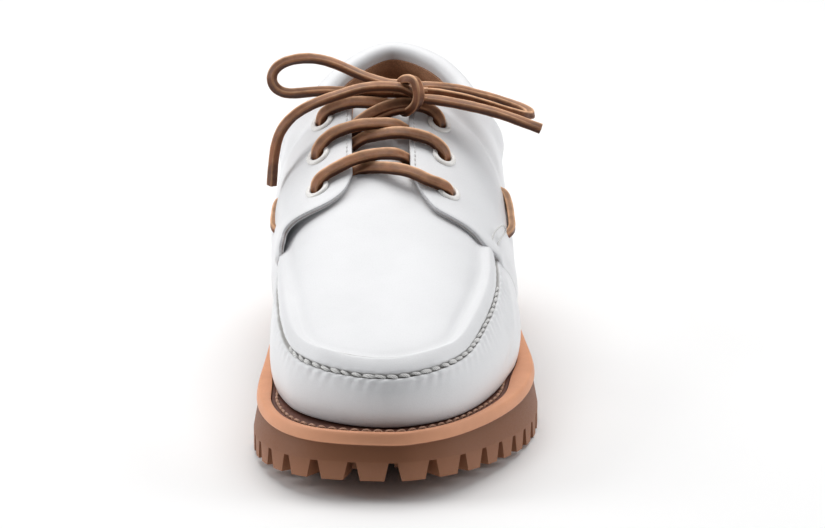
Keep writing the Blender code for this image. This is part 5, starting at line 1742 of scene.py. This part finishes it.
# ----------------------------------------------------- lining and tongue
def lining(found):
    """Brown lining of the quarters, from the sole to under the collar's band."""
    cols_l, cols_m = [], []
    net = Net()
    skins = []
    sides = {m: d["side"] for m, d in found.items()}
    us = np.concatenate([np.linspace(float(u_at(134)), float(u_at(190)), 26)[:-1], np.linspace(float(u_at(190)), 1, 74)])
    shares = np.concatenate([np.linspace(0, 0.9, 22), np.linspace(0.9, 1, 7)[1:]])
    for thick in (0.0, 0.9):
        columns = []
        for medial in (False, True):
            side = sides[medial]
            u = us if not medial else us[::-1][1:]
            t = 2 - u if medial else u
            y = out_y(t)
            back = step(y, 192, 212)
            throat = side.flat(t, phi_at_reach(t, THROAT_HALF + 1.0))[..., 1]
            top = top_length(side, u)
            high = np.where(y < 191, throat, np.minimum(top - (1.5 + COLLAR_ROLL * back + 1.0), np.maximum(throat, 0) + 500))
            high = high * 1.0
            s = 1.5 + (high - 1.5)[:, None] * shares[None]
            a = np.interp(u, side.u, side.run)
            tt, phi = side.curve(np.stack([np.broadcast_to(a[:, None], s.shape), s], -1))
            under = top[:, None] - s
            pad = COLLAR_IN * back[:, None] * (1 - step(under, 8.0, 20.0)) * step(under, 1.0, 4.0)
            lift = -(WALL + 0.5) - pad * 0.82 - thick
            columns.append(offset(tt, phi, lift))
        grid = np.concatenate(columns)
        skins.append(net.grid(grid, 0.0))
    border = lambda g: g[0] + [r[-1] for r in g[1:-1]] + g[-1][::-1] + [r[0] for r in g[-2:0:-1]]
    net.bridge(border(skins[0]), border(skins[1]))
    return show(net.make("quarter_lining", LINING, 50), "upper_leather")


def tongue():
    net = Net()
    ys = np.concatenate([np.linspace(128.0, 194.5, 56), [195.2, 195.7, 196.0]])
    across = np.linspace(-1, 1, 61)
    skins = []
    for thick in (0.0, TONGUE_THICK):
        rows = []
        for y in ys:
            half = 19.0 + 5.0 * step(y, 140, 190)
            t = t_at(y, across < 0)
            reach = np.abs(across) * half
            phi = phi_at_reach(t, reach)
            crown = 1.6 * np.exp(-((reach / 8.0) ** 4)) * step(y, 145, 155)
            edge = np.minimum((1 - np.abs(across)) * half, 196.3 - y)
            round_ = 0.9 * (1 - step(edge, 0.0, 1.5)) * (1 if thick == 0 else -1)
            soft = 0.22 * np.sin(y / 3.1 + across * 2.0) * np.exp(-((reach / 11.0) ** 2)) * step(y, 150, 160)
            lift = crown - (WALL + 0.9) - thick - round_ + (soft if thick == 0 else 0)
            rows.append(offset(t, phi, lift))
        skins.append(net.grid(np.array(rows)))
    border = lambda g: g[0] + [r[-1] for r in g[1:-1]] + g[-1][::-1] + [r[0] for r in g[-2:0:-1]]
    net.bridge(border(skins[0]), border(skins[1]))
    # the tongue takes the darker copy of the white leather, as painted shade
    return show(net.make("tongue_pad", TONGUE_SHADED_WHITE, 60), "upper_leather", "tongue")


# ------------------------------------------------------------------ eyelets
def eyelet_frames():
    """Centre on the flap's outside and outward direction of each eyelet, medial then lateral."""
    for ym, rm, yl, rl in EYELETS:
        for medial, y, reach in ((True, ym, rm), (False, yl, rl)):
            t = float(t_at(y, medial))
            phi = float(phi_at_reach(t, reach))
            yield offset(t, phi, float(quarter_lift(t, phi))), last_normal(t, phi)


def eyelets():
    """Six enamelled rings, each rolled over the flap and down its barrel."""
    net = Net()
    # radius, height and painted shade of the ring's profile: dark under the flange and down the barrel, a little at the
    # hole's lip
    profile = [
        (3.10, 0.18, 0.3), (3.16, 0.46, 0), (3.34, 0.70, 0), (3.64, 0.86, 0), (4.02, 0.93, 0), (4.42, 0.90, 0), (4.80, 0.78, 0),
        (5.10, 0.56, 0), (5.30, 0.28, 0), (5.38, 0.0, 0.1), (5.30, -0.34, 0.5), (4.9, -0.45, 0.8), (3.62, -0.45, 0.8), (3.52, -0.7, 0.8),
        (3.50, -3.9, 0.8), (3.35, -4.15, 0.8), (3.12, -4.0, 0.8), (3.08, -2.5, 0.9), (3.08, -0.3, 0.6),
    ]
    for centre, axis in eyelet_frames():
        turn = np.array(Vector(axis).to_track_quat("Z", "Y").to_matrix())
        a = np.arange(40) * 2 * math.pi / 40
        ids = []
        for r, h, painted_shading_and_wear in profile:
            ring = np.stack([r * np.cos(a), r * np.sin(a), np.full(40, h + 0.12)], -1) @ turn.T + centre
            ids.append(net.add(ring, painted_shading_and_wear))
        for p, q in zip(ids, ids[1:] + ids[:1]):
            net.bridge(p, q)
    names = [f"eyelet_{side}_{k}" for k in (1, 2, 3) for side in ("medial", "lateral")]
    return show(net.make("eyelet_rings", ENAMEL, 60), "eyelet_enamel", *names)


# -------------------------------------------------------------------- laces
def lace_section(wide=LACE_WIDE, thick=LACE_THICK, corner=0.68):
    """Points round a square-cut lace with rubbed corners, and how much each is rubbed, which lace() also turns into
    painted highlight.
    """
    pts, rub_and_painted_highlight = [], []
    w, h = wide / 2, thick / 2
    for k, (sx, sy) in enumerate(((1, 1), (-1, 1), (-1, -1), (1, -1))):
        for a, value in ((0, 0.60), (30, 1.0), (60, 1.0), (90, 0.60)):
            r = math.radians(k * 90 + a)
            pts.append((sx * (w - corner) + corner * math.cos(r), sy * (h - corner) + corner * math.sin(r)))
            rub_and_painted_highlight.append(value)
        # the face that follows: flat, a little hollow; the outer one gets its pale painted highlight in lace(), where
        # it faces up
        if k % 2 == 0:
            for x in (0.62, 0.0, -0.62):
                pts.append((sx * x * (w - corner), sy * (h - (0.02 if x else 0.10))))
                rub_and_painted_highlight.append(0.0)
        else:
            for y in (0.62, 0.0, -0.62):
                pts.append((sx * (w - (0.02 if y else 0.08)), sy * y * (h - corner)))
                rub_and_painted_highlight.append(0.0)
    return np.array(pts), np.array(rub_and_painted_highlight)


def carried(path, start, up):
    """Up directions carried along a path without twist, from the point start both ways."""
    n = len(path)
    ahead = unit(np.gradient(path, axis=0))
    ups = np.zeros((n, 3))
    ups[start] = unit(up - np.dot(up, ahead[start]) * ahead[start])
    for order in (range(start + 1, n), range(start - 1, -1, -1)):
        before = ups[start]
        for i in order:
            before = unit(before - np.dot(before, ahead[i]) * ahead[i])
            ups[i] = before
    return ups


def lace(net, path, ups, wide=LACE_WIDE, thick=LACE_THICK, twist=None, stretch=1.0, ends=(True, True), cut=1, rub=0.05):
    """Square-cut lace along path; twist turns it, in degrees at each point, and
    stretch widens it. Its corners are rubbed pale, what faces up gets a painted
    highlight and what faces down painted shade; rub is how rubbed its sides are."""
    path = np.asarray(path, float)
    ahead = unit(np.gradient(path, axis=0))
    across = unit(np.cross(ahead, ups))
    up = np.cross(across, ahead)
    if twist is not None:
        a = np.radians(np.broadcast_to(twist, len(path)))[:, None]
        across, up = across * np.cos(a) + up * np.sin(a), up * np.cos(a) - across * np.sin(a)
    shape, corners = lace_section(wide, thick)
    run = run_of(path)
    size = 1 + 0.025 * wobble(run, 2, 11.0, 4.7)
    broad = np.broadcast_to(stretch, len(path))[:, None, None] * across[:, None] * shape[None, :, :1]
    rings = path[:, None] + (broad + up[:, None] * shape[None, :, 1:]) * size[:, None, None]
    # painted light: faces and corners turned up, and a little towards the heel where the lights hang, are paled as
    # painted highlight; those turned down get painted shade
    high = unit(rings - path[:, None]) @ np.array([0.0, 0.30, 0.954])
    side = rub + np.where(high > 0, 0.50 * high**5, 1.25 * high)
    rub_and_painted_highlight = corners * (0.25 + 0.75 * step(high, -0.15, 0.5)) + (1 - corners) * side
    ids = net.grid(rings, rub_and_painted_highlight, wrap=True)
    for k, (end, way) in enumerate(((0, -1), (-1, 1))):
        if not ends[k]:
            net.face(ids[end][::way] if way < 0 else ids[end])
            continue
        centre = path[end]
        small = centre + (rings[end] - centre) * 0.80 + way * ahead[end] * 0.10
        # the cut end's rim carries a little painted shading
        cap = net.add(small, 0.2)
        net.bridge(ids[end], cap, True, 0)
        net.face(cap if way > 0 else cap[::-1], cut)
    return ids


def route(rows, count=60):
    """Points over the instep from (y, reach, lift) rows, and the outward direction there."""
    y, reach, lift = np.array(rows, float).T
    t = t_at(y, reach < 0)
    phi = phi_at_reach(t, np.abs(reach))
    pts = offset(t, phi, lift)
    normal = last_normal(t, phi)
    run = run_of(pts)
    path = through(pts, count)
    at = run_of(path) / run_of(path)[-1] * run[-1]
    return path, unit(np.stack([np.interp(at, run, normal[:, k]) for k in range(3)], -1))


# Each strand over the instep: eyelet it leaves (None comes out of the knot), how it is
# turned about its length, then y, reach and lift along it
CROSSING_WIDE = 4.7
STRANDS = [
    ("lace_crossing_1", 0, -16, [(144.6, -17.0, 5.8), (146.6, -9.7, 6.3), (148.3, -3.6, 5.9), (149.8, 2.4, 5.2), (151.3, 6.2, 3.8), (152.7, 8.8, 1.8), (153.6, 11.0, -0.5), (154.2, 13.3, -1.3), (154.5, 15.5, -1.3)]),
    ("lace_crossing_1", 1, 16, [(137.6, 17.2, 5.6), (139.9, 9.8, 5.7), (142.2, 4.0, 4.3), (144.4, -2.5, 2.7), (145.5, -6.6, 1.8), (146.2, -9.6, 0.4), (146.7, -12.4, -1.0), (147, -15.5, -1.2)]),
    ("lace_crossing_2", 2, -16, [(166.0, -16.6, 6.0), (166.2, -9.1, 6.4), (166.4, -2.9, 6.1), (167.3, 3.1, 5.4), (168.5, 6.6, 4.0), (169.8, 9.0, 1.9), (170.8, 11.2, -0.5), (171.4, 13.4, -1.3), (171.8, 15.5, -1.3)]),
    ("lace_crossing_2", 3, 16, [(162.4, 17.4, 5.9), (162.6, 10.0, 5.7), (162.8, 4.0, 4.5), (163, -2.5, 2.9), (163.3, -6.6, 1.9), (163.4, -9.6, 0.4), (163.4, -12.4, -1.0), (163.4, -15.5, -1.2)]),
    ("lace_crossing_3", 4, -16, [(183.3, -17.6, 5.5), (182.7, -12.3, 5.9), (181.7, -5.0, 5.2), (181.8, 1.0, 4.0), (182.2, 6.2, 3.6), (182.6, 9.8, 3.8), (183.0, 13.0, 4.2)]),
    ("lace_crossing_3", None, 10, [(178.0, 11.0, 5.6), (177.4, 7.6, 5.2), (176.6, 4.2, 4.3), (175.3, 0.4, 3.2), (174.0, -3.4, 2.2), (173.1, -7.0, 1.0), (172.6, -10.0, -0.4), (172.4, -13.0, -1.2)]),
    ("lace_crossing_3", 5, 16, [(181.5, 18.0, 5.5), (181.0, 13.2, 6.1), (180.0, 8.5, 6.3), (178.4, 4.0, 6.0), (176.6, -1.0, 4.9), (175.2, -5.0, 3.3), (174.6, -9.4, 0.8), (174.5, -12.3, -0.9), (174.4, -15.5, -1.2)]),
]


def crossings():
    """The lace over the instep: each strand fills its eyelet, leans out over the
    back of the ring, crosses, and goes down under the far flap."""
    frames = list(eyelet_frames())
    nets = {}
    for name, hole, turn, rows in STRANDS:
        net = nets.setdefault(name, Net())
        over, normal = route(rows)
        if hole is None:
            lace(net, over, normal, twist=turn, rub=0.0)
            continue
        centre, axis = frames[hole]
        away = over[0] - centre
        away = unit(away - np.dot(away, axis) * axis)
        heel = np.array([0.0, 1.0, 0.0])
        heel = unit(heel - np.dot(heel, axis) * axis)
        rise = ((-4.2, -1.6, -0.2), (-2.0, -1.2, 0.1), (-0.3, -0.6, 0.5), (0.95, 0.5, 0.85))
        rise = rise + ((1.85, 2.3, 0.95),)
        if hole == 1:
            # this one is pulled flat towards the toe
            rise = tuple((h * 0.85, g, b * 0.1 - 0.25) for h, g, b in rise)
        start = [centre + axis * h + away * g + heel * b for h, g, b in rise]
        keep = [over[k] for k in range(0, len(over), 6)]
        path = through(start + keep, 110)
        mid = 44
        near = np.argmin(np.linalg.norm(over - path[mid], axis=1))
        ups = carried(path, mid, normal[near])
        # beyond the bend the flat side follows the instep
        for i in range(mid, len(path)):
            j = np.argmin(np.linalg.norm(over - path[i], axis=1))
            ups[i] = normal[j]
        run = run_of(path)
        # it is squeezed to the round of the hole, and flat beyond it
        out = step(run, 3.0, 8.5)
        net_wide = 4.0 + (CROSSING_WIDE - 4.0) * out
        lace(net, path, ups, twist=turn * out + 4 * wobble(run, hole, 37.0, 19.0), stretch=net_wide / LACE_WIDE, rub=0.10)
    for name, net in nets.items():
        show(net.make(name + "_strands", [LACE, LACE_CORE], 60), "lace_leather", name)


# Side laces show between two slots on each quarter: y, x, z of their middle line
SIDE_LACES = {
    "side_lace_lateral": [(153.0, 46.6, 61.0), (154.1, 49.0, 61.9), (156.0, 50.9, 63.3), (160, 51.3, 65.3), (165, 51.0, 67.8), (170, 50.5, 70.2), (173.0, 49.9, 71.7), (176.2, 48.4, 73.2), (177.6, 46.0, 74.0)],
    "side_lace_medial": [(154.4, -43.6, 63.0), (155.4, -45.8, 63.7), (157.2, -47.4, 64.7), (161, -47.8, 66.6), (165, -47.4, 68.8), (168.2, -46.7, 70.6), (170.4, -45.2, 71.8), (171.4, -43.0, 72.4)],
}


def side_laces():
    for name, rows in SIDE_LACES.items():
        net = Net()
        path = through([(x, y, z) for y, x, z in rows], 60)
        mid = 30
        out = 1.0 if path[mid][0] > 0 else -1.0
        lace(net, path, carried(path, mid, np.array([out, 0, 0.0])), thick=2.9, rub=0.35)
        show(net.make(name + "_run", [LACE, LACE_CORE], 60), "lace_leather", name)


# The bow: routes of its loops and ends, x, y, z, each from the knot's face outwards
BOW = {
    "bow_loop_left": [
        (4.1, 180.6, 119.5), (1.5, 180.7, 119.7), (-5.0, 182.4, 120.9), (-11.6, 184.6, 122.8), (-18.0, 186.4, 125.3),
        (-25.0, 187.6, 127.8), (-32.5, 187.8, 129.1), (-40.0, 187.0, 128.6), (-45.6, 186.0, 126.3), (-48.2, 185.0, 122.6),
        (-47.6, 184.0, 118.6), (-44.0, 183.4, 115.8), (-38.5, 183.0, 115.3), (-31.0, 182.8, 116.0), (-22.0, 182.7, 116.1),
        (-13.0, 182.9, 115.7), (-5.0, 183.0, 115.4), (1.5, 182.9, 115.3), (4.1, 182.9, 115.3),
    ],
    "bow_loop_right": [
        (15.3, 182.3, 118.2), (17.7, 182.7, 118.0), (22.5, 185.2, 116.9), (29.5, 188.8, 115.0), (38.0, 191.4, 112.1),
        (46.5, 192.4, 109.4), (53.4, 191.7, 107.1), (56.8, 190.5, 106.1), (59.0, 188.2, 105.4), (59.8, 185.2, 105.1),
        (59.0, 182.2, 105.4), (56.8, 179.9, 106.2), (53.4, 178.7, 107.4), (46.8, 178.3, 109.7), (38.4, 178.3, 112.5),
        (30.0, 178.4, 114.8), (22.0, 178.4, 116.4), (17.6, 178.4, 116.9), (15.1, 178.4, 116.9),
    ],
    "lace_end_left": [
        (4.1, 176.2, 119.6), (1.5, 176.0, 119.9), (-3.0, 175.0, 120.3), (-7.8, 173.6, 120.4), (-13.8, 172.2, 119.6),
        (-20.1, 171.0, 117.9), (-26.3, 170.0, 116.1), (-32.4, 169.0, 113.9), (-37.6, 168.0, 111.1), (-41.7, 167.2, 107.6),
        (-44.8, 166.6, 103.2), (-46.6, 166.2, 98.0), (-47.6, 166.0, 92.0), (-48.2, 166.0, 86.0), (-48.6, 166.0, 80.3),
    ],
    "lace_end_right": [
        (15.1, 175.9, 114.5), (17.6, 175.2, 114.5), (22.0, 174.2, 114.2), (29.9, 173.5, 112.9), (38.2, 173.0, 111.1),
        (46.6, 172.5, 108.8), (54.9, 172.0, 105.9), (63.7, 171.5, 102.6),
    ],
}


def bow():
    """Two loops and two ends of the lace, each a cord that leaves the knot."""
    for name, points in BOW.items():
        net = Net()
        path = through(points, 130 if "loop" in name else 90)
        run = run_of(path)
        start = 4
        up = np.array([0.0, -0.45, 0.9])
        ups = carried(path, start, up)
        bare = name.startswith("lace_end")
        lace(net, path, ups, twist=10 * wobble(run, len(name), 61.0, 33.0), ends=(False, bare))
        obj = show(net.make(name + "_lace", [LACE, LACE_CORE], 60), "lace_leather", name)
        metres = place(path)


# Knot: the lace wrapped round the bow's middle, and the strands inside it, x, y, z
KNOT_WRAP = [
    (4.5, 182.5, 116.9), (5.2, 180.5, 119.3), (6.9, 178.2, 121.9), (9.2, 176.3, 123.0), (11.3, 174.4, 122.5),
    (12.4, 173.0, 120.2), (12.8, 172.3, 117.4), (12.3, 172.3, 114.4), (10.9, 173.2, 111.9), (8.6, 175.2, 109.8),
    (6.6, 177.8, 108.9), (5.3, 180.4, 109.3),
]
KNOT_INSIDE = [
    [(2.6, 180.6, 119.6), (5.0, 180.4, 119.4), (9.6, 180.6, 118.6), (14.2, 182.0, 118.3), (16.6, 182.5, 118.1)],
    [(2.6, 182.9, 115.3), (5.0, 182.7, 115.2), (9.6, 180.4, 115.6), (14.2, 178.6, 116.8), (16.6, 178.4, 116.9)],
    [(2.6, 176.1, 119.7), (5.0, 176.3, 119.4), (9.6, 176.6, 117.4), (14.2, 176.1, 114.9), (16.6, 175.5, 114.5)],
]


def knot():
    """One turn of the lace, corner outwards, round the strands that run through it."""
    net = Net()
    wrap = through(KNOT_WRAP, 72)
    middle = np.array([9.6, 179.0, 117.3])
    out = wrap - middle
    out[:, 0] *= 0.35
    lace(net, wrap, unit(out), wide=3.9, thick=3.7, twist=40 + 5 * wobble(run_of(wrap), 3, 23.0))
    for rows in KNOT_INSIDE:
        path = through(rows, 24)
        lace(net, path, carried(path, 4, np.array([0.0, -0.45, 0.9])), wide=3.6, thick=3.3)
    return show(net.make("bow_knot_wrap", [LACE, LACE_CORE], 60), "lace_leather", "bow_knot")


bow()
crossings()
knot()
side_laces()
the_upper, moc_seam = body()
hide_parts("upper")
hand_stitches(moc_seam)
the_quarters, quarter_data = quarters()
flap_lining(quarter_data)
quarter_stitches(quarter_data)
seam_knot()
heel_strip(quarter_data)
lining(quarter_data)
tongue()
eyelets()
outsole()
welt()
footbed()
